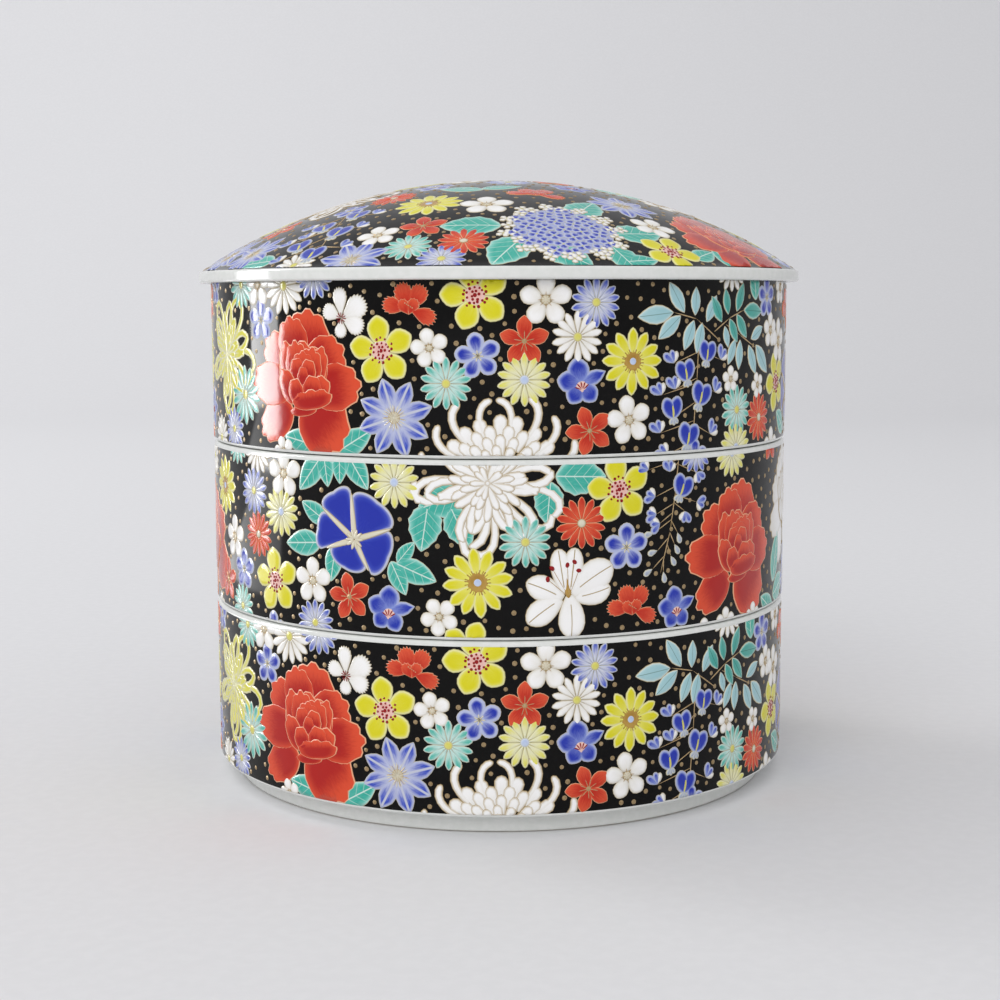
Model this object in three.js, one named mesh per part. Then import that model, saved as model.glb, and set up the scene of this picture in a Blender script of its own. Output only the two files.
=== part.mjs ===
// A round tiered food box in glazed porcelain: tiers that stack on each other under a domed lid.
// Millimetres, +Z up. The origin is on the table, under the middle of the lowest tier.
import * as THREE from 'three';

// The tiers' wall, outside and in
const bodyRadius = 90;
const wallThickness = 4.5;
const wallHeight = 49.2; // from the ledge that rests on the tier below, up to the rim
const rimRounding = 1;
const ledgeRounding = 0.8;

// The floor, and the foot ring that drops into the mouth of the tier below
const footHeight = 5.8;
const footWidth = 4.8;
const footRounding = 0.6;
const nestClearance = 1.2; // between the foot ring and the mouth around it
const ledgeThickness = 3.2; // porcelain between the ledge and the inside of the floor
const floorThickness = 5;
const innerCornerRadius = 6;

// How the pieces sit on each other
const tierNames = ['tier_bottom', 'tier_middle', 'tier_top'];
const seatGap = 0.3; // between a rim and what rests on it

// The lid: a domed shell, a band around its edge and a ring that keeps it centred
const domeRise = 28.4;
const domeThickness = 4;
const bandHeight = 1.8; // from the seat up to where the dome starts
const lapDepth = 1.7; // how far the band laps down past the seat
const lapWidth = 3;
const lapClearance = 0.8; // between the band and the top tier's wall
const bandRounding = 0.8;
const ringDepth = 3;
const ringWidth = 4.5;
const ringClearance = 1.2; // between the lid's ring and the mouth around it

// Facets around the axis, and along the round stretches of the outlines
const facets = 60;
const edgeFacets = 2;
const cornerFacets = 4;
const domeFacets = 8;

const mouthRadius = bodyRadius - wallThickness;
const tierPitch = wallHeight + seatGap;
const lidSeat = footHeight + tierNames.length * tierPitch;

const tierGlaze = new THREE.MeshStandardMaterial({ color: 0x1b1918, roughness: 0.18, metalness: 0 });
const lidGlaze = new THREE.MeshStandardMaterial({ color: 0x24211f, roughness: 0.14, metalness: 0 });

function point(radius, height) {
  return new THREE.Vector2(radius, height);
}

// A round stretch of an outline about (x, y), from one angle to another in degrees
function arc(x, y, radius, from, to, steps) {
  const points = [];
  for (let step = 0; step <= steps; step += 1) {
    const angle = THREE.MathUtils.degToRad(THREE.MathUtils.lerp(from, to, step / steps));
    points.push(point(x + radius * Math.cos(angle), y + radius * Math.sin(angle)));
  }
  return points;
}

// A closed outline, from the axis out and back to it, turned into a solid about +Z
function turned(outline) {
  const geometry = new THREE.LatheGeometry(outline, facets);
  geometry.rotateX(Math.PI / 2);
  return geometry;
}

// One tier, with its foot ring standing at height 0: out under the floor, up the wall, in and down
function tierOutline() {
  const footRadius = mouthRadius - nestClearance;
  const footInside = footRadius - footWidth;
  const floorTop = footHeight + ledgeThickness;
  const floorUnderside = floorTop - floorThickness;
  const rim = footHeight + wallHeight;
  return [
    point(0, floorUnderside),
    point(footInside, floorUnderside),
    point(footInside, 0),
    ...arc(footRadius - footRounding, footRounding, footRounding, -90, 0, 1),
    point(footRadius, footHeight),
    ...arc(bodyRadius - ledgeRounding, footHeight + ledgeRounding, ledgeRounding, -90, 0, edgeFacets),
    ...arc(bodyRadius - rimRounding, rim - rimRounding, rimRounding, 0, 90, edgeFacets),
    ...arc(mouthRadius + rimRounding, rim - rimRounding, rimRounding, 90, 180, edgeFacets),
    ...arc(
      mouthRadius - innerCornerRadius,
      floorTop + innerCornerRadius,
      innerCornerRadius,
      0,
      -90,
      cornerFacets,
    ),
    point(0, floorTop),
  ];
}

// The lid, with its seat at height 0: out along the underside, round the band, back over the dome
function lidOutline() {
  const lidRadius = bodyRadius + lapClearance + lapWidth;
  const domeEdge = lidRadius - bandRounding;
  const domeRadius = (domeEdge ** 2 + domeRise ** 2) / (2 * domeRise);
  const domeCentre = bandHeight + domeRise - domeRadius;
  const hollowRadius = domeRadius - domeThickness;
  const ringOutside = mouthRadius - ringClearance;
  const ringInside = ringOutside - ringWidth;
  const angleAt = (radius, sphere) => THREE.MathUtils.radToDeg(Math.acos(radius / sphere));
  return [
    ...arc(0, domeCentre, hollowRadius, 90, angleAt(ringInside, hollowRadius), domeFacets),
    point(ringInside, -ringDepth),
    point(ringOutside, -ringDepth),
    point(ringOutside, 0),
    point(bodyRadius + lapClearance, 0),
    point(bodyRadius + lapClearance, -lapDepth),
    ...arc(domeEdge, bandRounding - lapDepth, bandRounding, -90, 0, edgeFacets),
    ...arc(domeEdge, bandHeight - bandRounding, bandRounding, 0, 60, 1),
    ...arc(0, domeCentre, domeRadius, angleAt(domeEdge, domeRadius), 90, domeFacets),
  ];
}

function piece(name, outline, material, height) {
  const mesh = new THREE.Mesh(turned(outline), material);
  mesh.name = name;
  mesh.position.z = height;
  return mesh;
}

const box = new THREE.Group();

tierNames.forEach((name, level) => {
  box.add(piece(name, tierOutline(), tierGlaze, level * tierPitch));
});

box.add(piece('lid', lidOutline(), lidGlaze, lidSeat));

export default box;
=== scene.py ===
import math
import random

import bpy
from mathutils import Matrix, Vector
from mathutils.bvhtree import BVHTree


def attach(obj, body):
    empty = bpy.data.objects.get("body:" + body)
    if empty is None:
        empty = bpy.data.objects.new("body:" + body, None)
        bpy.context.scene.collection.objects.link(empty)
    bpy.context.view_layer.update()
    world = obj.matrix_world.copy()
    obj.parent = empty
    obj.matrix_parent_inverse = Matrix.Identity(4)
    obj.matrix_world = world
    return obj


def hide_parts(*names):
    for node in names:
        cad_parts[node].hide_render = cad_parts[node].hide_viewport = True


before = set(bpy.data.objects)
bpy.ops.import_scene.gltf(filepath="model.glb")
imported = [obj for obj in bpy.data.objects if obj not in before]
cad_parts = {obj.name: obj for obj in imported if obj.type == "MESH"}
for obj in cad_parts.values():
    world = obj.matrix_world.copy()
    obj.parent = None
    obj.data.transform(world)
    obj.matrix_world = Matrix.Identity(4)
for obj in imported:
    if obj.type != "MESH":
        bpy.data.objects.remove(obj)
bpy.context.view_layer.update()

bl_info = {
    "name": "Flowered Tiered Box",
    "version": (1, 0, 0),
    "blender": (4, 5, 0),
    "location": "View3D > Sidebar > Tiered Box",
    "description": "Glazed porcelain tiers and a domed lid with flowers in raised enamel",
    "category": "Object",
}

MM = 0.001
TIERS = ("tier_bottom", "tier_middle", "tier_top")

# The pieces' sizes in millimetres, as turned on the wheel
WALL_RADIUS = 90.0
WALL_HEIGHT = 49.2
RIM_ROUNDING = 1.0
LEDGE_ROUNDING = 0.9
FOOT_HEIGHT = 5.8
FOOT_ROUNDING = 0.9
FOOT_FILLET = 1.0  # where the foot ring meets the underside of the floor
NEST_CLEARANCE = 1.2
FLOOR_TOP = 9.0
FLOOR_UNDERSIDE = 4.0
CORNER_RADIUS = 6.0
TIER_PITCH = 49.5
LID_SEAT = 154.3
LID_RADIUS = 93.8
LID_LAP = 1.7
LID_BAND = 1.8
LID_ROUNDING = 0.8
LID_INSIDE_LAP = 90.8
LAP_ROUNDING = 0.5
LID_RING_DEPTH = 3.0
LID_RING_OUTSIDE = 84.3
LID_RING_INSIDE = 79.8
DOME_RISE = 28.4
DOME_DROP = 0.3  # room for the enamel under the solids' own top
DOME_EDGE = 93.0
DOME_PLAIN = 0.25  # between the lid's band and the lowest of the dome's pattern
TURNED_STEPS = 192

# The band of pattern on a tier's wall, up from its ledge, and the repeat around it
BAND_LOW = 0.9
BAND_HIGH = 47.8
REPEATS = 2
REPEAT_LENGTH = 2 * math.pi * WALL_RADIUS / REPEATS

# Raised enamel, in millimetres: how deep its edge is sunk in the glaze and how high its outline stands
SUNK = 0.06
EDGE = 0.05
MERGE = 0.003  # points of a patch nearer than this are one
CUT_TURN = 0.3  # how far a trimmed edge turns in
SHEET_CELLS = 12  # every patch shape has its own cell on a square sheet this many cells wide
CELL_MARGIN = 0.05

# How far the gold dots keep from the band's lower and upper edge and from the dome's, in millimetres
DOTS_ABOVE_LEDGE = 1.1
DOTS_BELOW_RIM = 0.8
DOTS_INSIDE_DOME = 1.2
DOT_CLEARANCE = 1.0  # bare ground around a dot's middle
DOT_PROBES = 8  # directions in which that is tried
WALL_THROWS = 9000
DOME_THROWS = 22000

# The studio and the camera, in metres and degrees
FLOOR_SIZE = 6.0
FLOOR_DROP = 0.0001
BACKDROP_HEIGHT = 4.0
SWEEP_WIDTH = 1.4
SWEEP_SEGMENTS = 24
CAMERA_SIDE = 0.0002
CAMERA_TILT = 83.353
CAMERA_ROLL = -0.171

# The colour sockets of a Mix node, whose other sockets have the same names
MIX_FIRST, MIX_SECOND, MIXED = 6, 7, 2

RNG_SEED = 11


# Materials


def linear(hex_colour):
    """An sRGB hex colour as linear red, green, blue and alpha."""
    channels = [int(hex_colour[at:at + 2], 16) / 255 for at in (1, 3, 5)]
    return tuple([c / 12.92 if c <= 0.04045 else ((c + 0.055) / 1.055) ** 2.4 for c in channels] + [1.0])


def tone(colour):
    """A colour as linear values, from an sRGB hex or from the name of a colour that a user may change."""
    if colour.startswith("#"):
        return linear(colour)
    return tuple(getattr(bpy.context.scene.tiered_box_colours, colour))


def node(tree, kind, inputs=None, **settings):
    """Adds one shader node with its settings, and links or sets its inputs."""
    made = tree.nodes.new("ShaderNode" + kind)
    for name, value in settings.items():
        setattr(made, name, value)
    for key, value in (inputs or {}).items():
        if isinstance(value, bpy.types.NodeSocket):
            tree.links.new(value, made.inputs[key])
        else:
            made.inputs[key].default_value = value
    return made


def new_material(name):
    """An empty node material, and its tree to fill."""
    material = bpy.data.materials.new(name)
    material.use_nodes = True
    material.node_tree.nodes.clear()
    return material, material.node_tree


def finish_surface(tree, colour, roughness, bump_height, bump_distance, ior=1.5, metallic=0.0):
    """Links the shader, its bump and the output."""
    bump = node(tree, "Bump", {"Height": bump_height, "Distance": bump_distance, "Strength": 1.0})
    shader = node(tree, "BsdfPrincipled",
                  {"Base Color": colour, "Roughness": roughness, "Normal": bump.outputs[0],
                   "IOR": ior, "Metallic": metallic})
    node(tree, "OutputMaterial", {"Surface": shader.outputs[0]})


def enamel(name, outline, margin, pale, full, rib=0.0, rib_colour=None, veins=False):
    """Overglaze enamel: lead glass painted thick inside a fired outline, so it stands up, pools and shines.

    A patch carries three values in its "enamel" attribute: the zone (0 at its edge, 1 inside the outline, 2
    inside the margin, 3 in the middle), the wash from pale to full, and millimetres from its midrib.
    """
    material, tree = new_material(name)
    smooth = {"interpolation_type": "SMOOTHSTEP"}
    values = node(tree, "Attribute", attribute_name="enamel")
    parts = node(tree, "SeparateXYZ", {0: values.outputs["Vector"]})
    zone, wash, across = parts.outputs
    brush = node(tree, "Attribute", attribute_name="brush")
    # Brush strokes a third of a millimetre wide and two long
    stretched = node(tree, "Mapping", {"Vector": brush.outputs["Vector"], "Scale": (3.2, 0.55, 1.0)})
    streaks = node(tree, "TexNoise",
                   {"Vector": stretched.outputs[0], "Scale": 1.0, "Detail": 2.0, "Roughness": 0.6})
    uneven = node(tree, "Math", {0: streaks.outputs[0], 1: 0.7, 2: -0.35}, operation="MULTIPLY_ADD")
    washed = node(tree, "Math", {0: wash, 1: uneven.outputs[0]}, operation="ADD")
    pooled = node(tree, "MapRange", {"Value": washed.outputs[0]}, **smooth)
    inner = node(tree, "MapRange", {"Value": zone, "From Min": 1.9, "From Max": 2.5, "To Min": 0.25},
                 **smooth)
    amount = node(tree, "Math", {0: pooled.outputs[0], 1: inner.outputs[0]}, operation="MULTIPLY")
    colour = node(tree, "Mix", {"Factor": amount.outputs[0], MIX_FIRST: tone(pale), MIX_SECOND: tone(full)},
                  data_type="RGBA")
    if rib > 0:
        beside = node(tree, "MapRange", {"Value": across, "From Min": rib * 0.6, "From Max": rib * 1.5},
                      **smooth)
        colour = node(tree, "Mix", {"Factor": beside.outputs[0], MIX_FIRST: tone(rib_colour),
                                    MIX_SECOND: colour.outputs[MIXED]}, data_type="RGBA")
    if veins:
        # Side veins every 2.3 mm that slant up from the rib
        place = node(tree, "SeparateXYZ", {0: brush.outputs["Vector"]})
        slope = node(tree, "Math", {0: across, 1: -0.85, 2: place.outputs[1]}, operation="MULTIPLY_ADD")
        wave = node(tree, "Math", {0: slope.outputs[0], 1: 1.15}, operation="PINGPONG")
        beside = node(tree, "MapRange",
                      {"Value": wave.outputs[0], "From Min": 0.02, "From Max": 0.2, "To Min": 0.5}, **smooth)
        colour = node(tree, "Mix", {"Factor": beside.outputs[0], MIX_FIRST: tone(rib_colour),
                                    MIX_SECOND: colour.outputs[MIXED]}, data_type="RGBA")
    # The margin's and the outline's own colours; on the white enamels these tan and grey rings are partly
    # painted shade at the rounded edges and between the petals
    for ring_colour, start, end in ((margin, 1.75, 2.2), (outline, 0.85, 1.15)):
        inside = node(tree, "MapRange", {"Value": zone, "From Min": start, "From Max": end}, **smooth)
        colour = node(tree, "Mix", {"Factor": inside.outputs[0], MIX_FIRST: tone(ring_colour),
                                    MIX_SECOND: colour.outputs[MIXED]}, data_type="RGBA")
    # The gold line is fired matt, the glass inside it is glossy
    rough = node(tree, "MapRange",
                 {"Value": zone, "From Min": 0.9, "From Max": 1.3, "To Min": 0.36, "To Max": 0.12}, **smooth)
    rounded = node(tree, "MapRange", {"Value": zone, "From Min": 0.6, "From Max": 2.7}, **smooth)
    relief = node(tree, "Math", {0: streaks.outputs[0], 1: 0.12, 2: rounded.outputs[0]},
                  operation="MULTIPLY_ADD")
    finish_surface(tree, colour.outputs[MIXED], rough.outputs[0], relief.outputs[0], 0.1 * MM, ior=1.4)
    return material


def speckled(name, base, spots, spacing, roughness, bump, metallic=0.0, ior=1.5):
    """A glazed or fired surface whose tone wanders a little, with grain of some spacing in millimetres."""
    material, tree = new_material(name)
    smooth = {"interpolation_type": "SMOOTHSTEP"}
    place = node(tree, "TexCoord").outputs["Object"]
    fine = node(tree, "TexNoise", {"Vector": place, "Scale": 1 / (spacing * MM), "Detail": 3.0})
    broad = node(tree, "TexNoise", {"Vector": place, "Scale": 1 / (spacing * 9 * MM), "Detail": 1.0})
    spotted = node(tree, "MapRange", {"Value": fine.outputs[0], "From Min": 0.35, "From Max": 0.7}, **smooth)
    colour = node(tree, "Mix", {"Factor": spotted.outputs[0], MIX_FIRST: tone(base), MIX_SECOND: tone(spots)},
                  data_type="RGBA")
    rough = node(tree, "MapRange",
                 {"Value": broad.outputs[0], "From Min": 0.3, "From Max": 0.7, "To Min": roughness * 0.85,
                  "To Max": roughness * 1.2}, **smooth)
    finish_surface(tree, colour.outputs[MIXED], rough.outputs[0], broad.outputs[0], bump * MM, ior, metallic)
    return material


# Enamels: outline, margin, pale and full colour, then the rib's half width in millimetres, its colour and
# whether it has side veins. Others: base and spots, spacing of the grain in millimetres, roughness, bump in
# millimetres, metallic and IOR. A colour without # is one that a user may change.
FINISHES = {
    # Iron red over the glaze: orange where thin, deep where it pools, with peach gold outlines
    "iron_red_enamel": (enamel, "#F0B088", "#DE5030", "#E24E2C", "peony_red"),
    "iron_red_petal": (enamel, "#EBAA82", "#DE5634", "#E25836", "petal_red"),
    # Cobalt blue glass enamel, milky where it thins out
    "cobalt_enamel": (enamel, "#B9B4A8", "#AAB4DC", "#8C9CDC", "cobalt"),
    "cobalt_milky_enamel": (enamel, "#BDB8AA", "#B9C1E2", "#A6B0DE", "#1C30AC"),
    "cobalt_daisy_enamel": (enamel, "#C4C1B6", "#BAC3E4", "#DFE1E8", "#465CC4"),
    "cobalt_ribbed_enamel": (enamel, "#BDB8A6", "#B4BBDC", "#BFC5E2", "#3850C0", 0.28, "#C6CADB"),
    "cobalt_glory_enamel": (enamel, "#BDB49E", "#BFC4DE", "#4458C6", "#1C2EAA"),
    # Lemon yellow enamel, greenish and translucent
    "yellow_enamel": (enamel, "#BDB582", "#ECE8A2", "#EAE56C", "yellow"),
    "yellow_daisy_enamel": (enamel, "#C4BC92", "#EAE7B4", "#EDECD2", "#E4DE50"),
    # Copper turquoise enamel, a green glass that goes pale at its edges
    "turquoise_enamel": (enamel, "#C4BFA8", "#BFE2DA", "#CFEAE3", "turquoise"),
    "turquoise_leaf_enamel": (enamel, "#C9C2A4", "#A9DDD3", "#86D2C5", "#33AE9C", 0.14, "#CFE8DE", True),
    "celadon_leaf_enamel": (enamel, "#C4B38A", "#D3E2DE", "#BDDDE0", "#A2CDD4", 0.08, "#7C9C9A"),
    "turquoise_spray_enamel": (enamel, "#BFB08C", "#AFD8D0", "#86C8BE", "#45A89C", 0.08, "#2F7A70"),
    # Raised white enamel, thick and opaque: tan where the gold line runs and greyer in the margin inside it,
    # partly the line's own colour and partly painted shade at the rounded edges and between the petals
    "white_enamel": (enamel, "#AE976C", "#DDD4C4", "#EDEAE3", "white"),
    "white_soft_enamel": (enamel, "#BBAC8C", "#E6E2D8", "#EFECE4", "#FDFCFB"),
    "white_ribbed_enamel": (enamel, "#B29C72", "#E8E4DA", "#F3F1EC", "#FDFCFB", 0.13, "#AE9A70"),
    # Thin tinted glass for hearts, stamens and buds: cream, grey blue, ice blue and pink
    "cream_enamel": (enamel, "#B39B6E", "#D6CDB2", "#DDD6BE", "#E8E2CF"),
    "grey_blue_enamel": (enamel, "#CFC4A4", "#CDD2CF", "#C3C9D2", "#9FAAC2"),
    "ice_blue_enamel": (enamel, "#C9CBCB", "#D3DCEC", "#CBD8EF", "#B7C8EC"),
    "pink_enamel": (enamel, "#E8CDB4", "#F2CCC0", "#F2C6BC", "#EBAFA4"),
    # Small strokes and dots, nearly one tone: dark red, ochre and greenish yellow
    "dark_red_enamel": (enamel, "#7E0A10", "#8E0C12", "#A01014", "#88080E"),
    "ochre_enamel": (enamel, "#B69248", "#B88F3E", "#C09A4C", "#A67C2C"),
    "heart_yellow_enamel": (enamel, "#CDBF8C", "#DDD68C", "#E3DE7C", "#D9D25A"),
    # Liquid gold, fired matt: a soft tan sheen rather than a mirror
    "matt_gold": (speckled, "gold", "#8F7750", 0.35, 0.42, 0.01, 0.3),
    "gold_line": (speckled, "#C9AE86", "#B0925F", 0.35, 0.4, 0.01, 0.3),
    # Black overglaze ground: a deep mirror with the faint ripple of a brushed coat
    "black_glaze": (speckled, "ground", "#0A0908", 1.6, 0.075, 0.006, 0.0, 1.25),
    # White porcelain under clear glaze: bright and glossy, with a slight grey cast
    "porcelain_glaze": (speckled, "porcelain", "#E9EAE7", 2.2, 0.11, 0.008),
    # The foot's underside, wiped clean of glaze, dry and fine-grained
    "unglazed_foot": (speckled, "#D9D3C6", "#C9C1B0", 0.5, 0.75, 0.03),
    # Matt background paper, which shows no glare
    "studio_paper": (speckled, "paper", "#E6E6E8", 4.0, 0.6, 0.0, 0.0, 1.0),
}
PAINTS = {}


def paint(name):
    """The material of that name, made when it is first asked for."""
    if name not in PAINTS:
        maker, *settings = FINISHES[name]
        PAINTS[name] = maker(name, *settings)
    return PAINTS[name]


# Making and joining objects


def deselect():
    """Nothing selected, in object mode."""
    if bpy.context.object and bpy.context.object.mode != "OBJECT":
        bpy.ops.object.mode_set(mode="OBJECT")
    bpy.ops.object.select_all(action="DESELECT")


def edit(obj):
    """Opens one object in edit mode with all of it selected."""
    deselect()
    bpy.context.view_layer.objects.active = obj
    obj.select_set(True)
    bpy.ops.object.mode_set(mode="EDIT")
    bpy.ops.mesh.select_mode(type="VERT")
    bpy.ops.mesh.select_all(action="SELECT")


def joined(name, objects):
    """Several objects joined to one."""
    deselect()
    for each in objects:
        each.select_set(True)
    bpy.context.view_layer.objects.active = objects[0]
    bpy.ops.object.join()
    made = bpy.context.object
    made.name = name
    made.data.name = name
    return made


def shade(obj, angle):
    """Smooth faces that keep edges sharper than an angle in degrees."""
    deselect()
    bpy.context.view_layer.objects.active = obj
    obj.select_set(True)
    bpy.ops.object.shade_smooth_by_angle(angle=math.radians(angle))


def belongs(obj, slot, *nodes):
    """The piece rides on the box and hides the nodes of the frame that it stands for. Its slot is not used.
    """
    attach(obj, "root")
    if nodes:
        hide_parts(*nodes)


# Patches of enamel, drawn flat in millimetres


def patch_rings(line, margin, crown, plain):
    """From the edge in: inset in mm, the most it may be of the way in, height and colour zone."""
    if plain:
        return ((0.0, 0.0, -SUNK, 0.0), (line, 0.45, EDGE + 0.8 * crown, 2.0), (None, 1.0, EDGE + crown, 3.0))
    return (
        (0.0, 0.0, -SUNK, 0.0),
        (0.5 * line, 0.22, 0.7 * EDGE, 0.5),
        (line, 0.36, EDGE, 1.0),
        (line + margin, 0.6, EDGE + 0.55 * crown, 2.0),
        (None, 0.5, EDGE + 0.92 * crown, 2.6),
        (None, 1.0, EDGE + crown, 3.0),
    )


def bent(x, y, length, bend, hook):
    """A point of a straight petal once its spine bends by so many degrees, sooner or nearer the tip."""
    if not bend:
        return x, y
    steps = 12
    px = py = 0.0
    heading = 0.0
    for step in range(steps):
        heading = math.radians(bend) * (max(y, 0) / length * (step + 0.5) / steps) ** hook
        px -= math.sin(heading) * y / steps
        py += math.cos(heading) * y / steps
    heading = math.radians(bend) * (max(y, 0) / length) ** hook
    return px + x * math.cos(heading), py + x * math.sin(heading)


def patch(colour, outline, spine, line=0.2, margin=0.25, crown=0.12, wash=(0.0, 1.0), bend=0.0, hook=1.0,
          plain=False):
    """One closed patch: a grid rolled into rings that run from its outline in to its spine.

    Its line and its margin are the widths of the outline and of the pale edge, and its crown is how high the
    middle stands, all in millimetres. The wash runs from base to tip, from 0 for pale to 1 for full.
    """
    rings = patch_rings(line, margin, crown, plain)
    columns = len(outline)
    deselect()
    bpy.ops.mesh.primitive_grid_add(x_subdivisions=columns, y_subdivisions=len(rings) - 1, size=2.0)
    made = bpy.context.object
    mesh = made.data
    enamel_values, brush_values = [], []
    length = max(y for _, y in outline)
    stroke = 0.37 * len(bpy.data.meshes)  # so that no two patches have the same brush strokes
    for vertex in mesh.vertices:
        column = round((vertex.co.x + 1) / 2 * columns) % columns
        ring = round((vertex.co.y + 1) / 2 * (len(rings) - 1))
        x, y = outline[column]
        target = min(max(y, spine[0]), spine[1])
        away = max(math.hypot(x, y - target), 1e-4)
        inset, most, height, zone = rings[ring]
        if inset is None:
            before = min(rings[3][0] / away, rings[3][1]) if len(rings) > 3 else 0.0
            share = before + (1 - before) * most
        else:
            share = min(inset / away, most)
        px, py = x * (1 - share), y + (target - y) * share
        enamel_values += [zone, wash[0] + (wash[1] - wash[0]) * min(max(py / length, 0), 1), abs(px)]
        brush_values += [px, py, stroke]
        vertex.co = (*bent(px, py, length, bend, hook), height)
    for name, values in (("enamel", enamel_values), ("brush", brush_values)):
        layer = mesh.attributes.new(name, "FLOAT_VECTOR", "POINT")
        layer.data.foreach_set("vector", values)
    lay_on_sheet(mesh)
    mesh.materials.append(paint(colour))
    edit(made)
    bpy.ops.mesh.remove_doubles(threshold=MERGE)
    bpy.ops.mesh.faces_shade_smooth()
    bpy.ops.object.mode_set(mode="OBJECT")
    if sum(face.normal.z * face.area for face in mesh.polygons) < 0:
        mesh.flip_normals()
    bpy.data.objects.remove(made)
    return mesh


SHEET_USED = []


def lay_on_sheet(mesh):
    """Gives the patch its own cell of a square sheet, in its UV map named OFBake."""
    cell = len(SHEET_USED)
    SHEET_USED.append(mesh.name)
    left, low = cell % SHEET_CELLS, cell // SHEET_CELLS
    layer = mesh.uv_layers[0]
    layer.name = "OFBake"
    left, low, scale = left + CELL_MARGIN, low + CELL_MARGIN, 1 - 2 * CELL_MARGIN
    for loop in layer.data:
        loop.uv = ((left + scale * loop.uv.x) / SHEET_CELLS, (low + scale * loop.uv.y) / SHEET_CELLS)


def leaf_outline(length, width, belly, base, tip, steps, neck=0.0):
    """Up the left side of a petal and down the right: base and tip are 0.5 for round, 1 for pointed."""
    sides = []
    for step in range(steps + 1):
        s = (1 - math.cos(math.pi * step / steps)) / 2
        if s < belly:
            half = neck + (1 - neck) * math.sin(math.pi / 2 * s / belly) ** base
        else:
            half = math.cos(math.pi / 2 * (s - belly) / (1 - belly)) ** tip if s < 1 else 0.0
        sides.append((half * width / 2, s * length))
    return [(-x, y) for x, y in sides] + [(x, y) for x, y in reversed(sides)]


def petal(colour, length, width, belly=0.62, base=1.0, tip=0.5, steps=6, neck=0.0, teeth=0.0, **finish):
    """A petal or a leaf that starts at the origin and points up."""
    outline = leaf_outline(length, width, belly, base, tip, steps, neck)
    if teeth:
        outline = [(x * (1 + teeth / width * (1 if i % 2 else -1)), y) for i, (x, y) in enumerate(outline)]
    reach = min(0.5 * width, 0.45 * length)
    return patch(colour, outline, (reach * 0.8, length - reach), **finish)


def fan(colour, length, spread, lobes, lobe, sag, steps, shoulder, tooth=0.0, **finish):
    """A broad petal: a fan about the origin whose rim is lobed, toothed and rounded at its shoulders."""
    outline = [(0.0, 0.0)]
    for step in range(steps + 1):
        t = 2 * step / steps - 1
        angle = math.radians(spread / 2) * t
        reach = 1 - sag * abs(t) ** shoulder + lobe * abs(math.sin(math.pi * lobes * (t + 1) / 2)) - lobe
        reach += tooth * (1 if step % 2 else -1)
        radius = length * reach
        outline.append((radius * math.sin(angle), radius * math.cos(angle)))
    return patch(colour, outline, (0.3 * length, 0.62 * length), **finish)


def scoop(colour, length, width, lobes, lobe, steps, **finish):
    """A broad round petal: an oval whose far edge is ruffled."""
    outline = []
    for step in range(steps):
        angle = 2 * math.pi * (step + 0.5) / steps
        rise = (1 - math.cos(angle)) / 2
        reach = 1 + lobe * rise * (abs(math.sin(lobes * angle / 2)) - 0.6)
        outline.append((-width / 2 * math.sin(angle) * reach, length * rise * reach))
    return patch(colour, outline, (0.35 * length, 0.65 * length), **finish)


def disc(colour, radius, steps=10, **finish):
    """A round patch about the origin."""
    outline = []
    for step in range(steps):
        angle = 2 * math.pi * step / steps
        outline.append((radius * math.sin(angle), radius + radius * math.cos(angle)))
    mesh = patch(colour, outline, (radius, radius), **finish)
    mesh.transform(Matrix.Translation((0, -radius, 0)))
    return mesh


def put(mesh, x=0.0, y=0.0, turn=0.0, out=0.0, lift=0.0, size=1.0, mirror=False, stretch=1.0):
    """A copy of a flat shape, turned about its base and laid at its place; its sunk edge isn't lifted."""
    copy = bpy.data.objects.new(mesh.name, mesh.copy())
    bpy.context.scene.collection.objects.link(copy)
    side = -size if mirror else size
    scale = Matrix.Diagonal((side, size * stretch, 1, 1))
    turned_out = Matrix.Rotation(math.radians(turn), 4, "Z") @ Matrix.Translation((0, out, 0))
    copy.data.transform(Matrix.Translation((x, y, 0)) @ turned_out @ scale)
    if mirror:
        copy.data.flip_normals()
    if lift:
        for vertex in copy.data.vertices:
            if vertex.co.z > 0:
                vertex.co.z += lift
    return copy


def spread_petals(mesh, count, out=0.0, turn=0.0, lift=0.0, wobble=2.0, rng=None, mirror=False):
    """Copies of a petal all round a heart, each a little out of its even place."""
    rng = rng or random.Random(RNG_SEED)
    gap = 360.0 / count
    return [
        put(mesh, turn=turn + gap * i + rng.uniform(-wobble, wobble), out=out, lift=lift,
            size=1 + rng.uniform(-0.03, 0.03), mirror=mirror)
        for i in range(count)
    ]


def flower(name, parts):
    """The parts joined to one flat shape that can be laid many times."""
    made = joined(name, parts)
    mesh = made.data
    bpy.data.objects.remove(made)
    return mesh


def between(mesh, reach, start, end, lift=0.0, slim=False):
    """A copy of a petal of some reach, laid from one point to another; a slim one only grows in length."""
    dx, dy = end[0] - start[0], end[1] - start[1]
    share = math.hypot(dx, dy) / reach
    turn = math.degrees(math.atan2(-dx, dy))
    if slim:
        return put(mesh, *start, turn=turn, lift=lift, stretch=share)
    return put(mesh, *start, turn=turn, lift=lift, size=share)


# The flowers, each drawn flat in millimetres about its own middle, in layers from the back to the front


def daisy(colour, heart):
    """A small chrysanthemum with one row of narrow petals."""
    ray = petal(colour, 5.6, 2.05, belly=0.68, base=1.2, tip=0.6, neck=0.22, line=0.18, margin=0.15,
                crown=0.1, steps=6)
    centre = disc(heart, 1.2, 12, line=0.25, margin=0.2, crown=0.1)
    return flower("daisy", spread_petals(ray, 14, out=0.8) + [put(centre, lift=0.07)])


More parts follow.
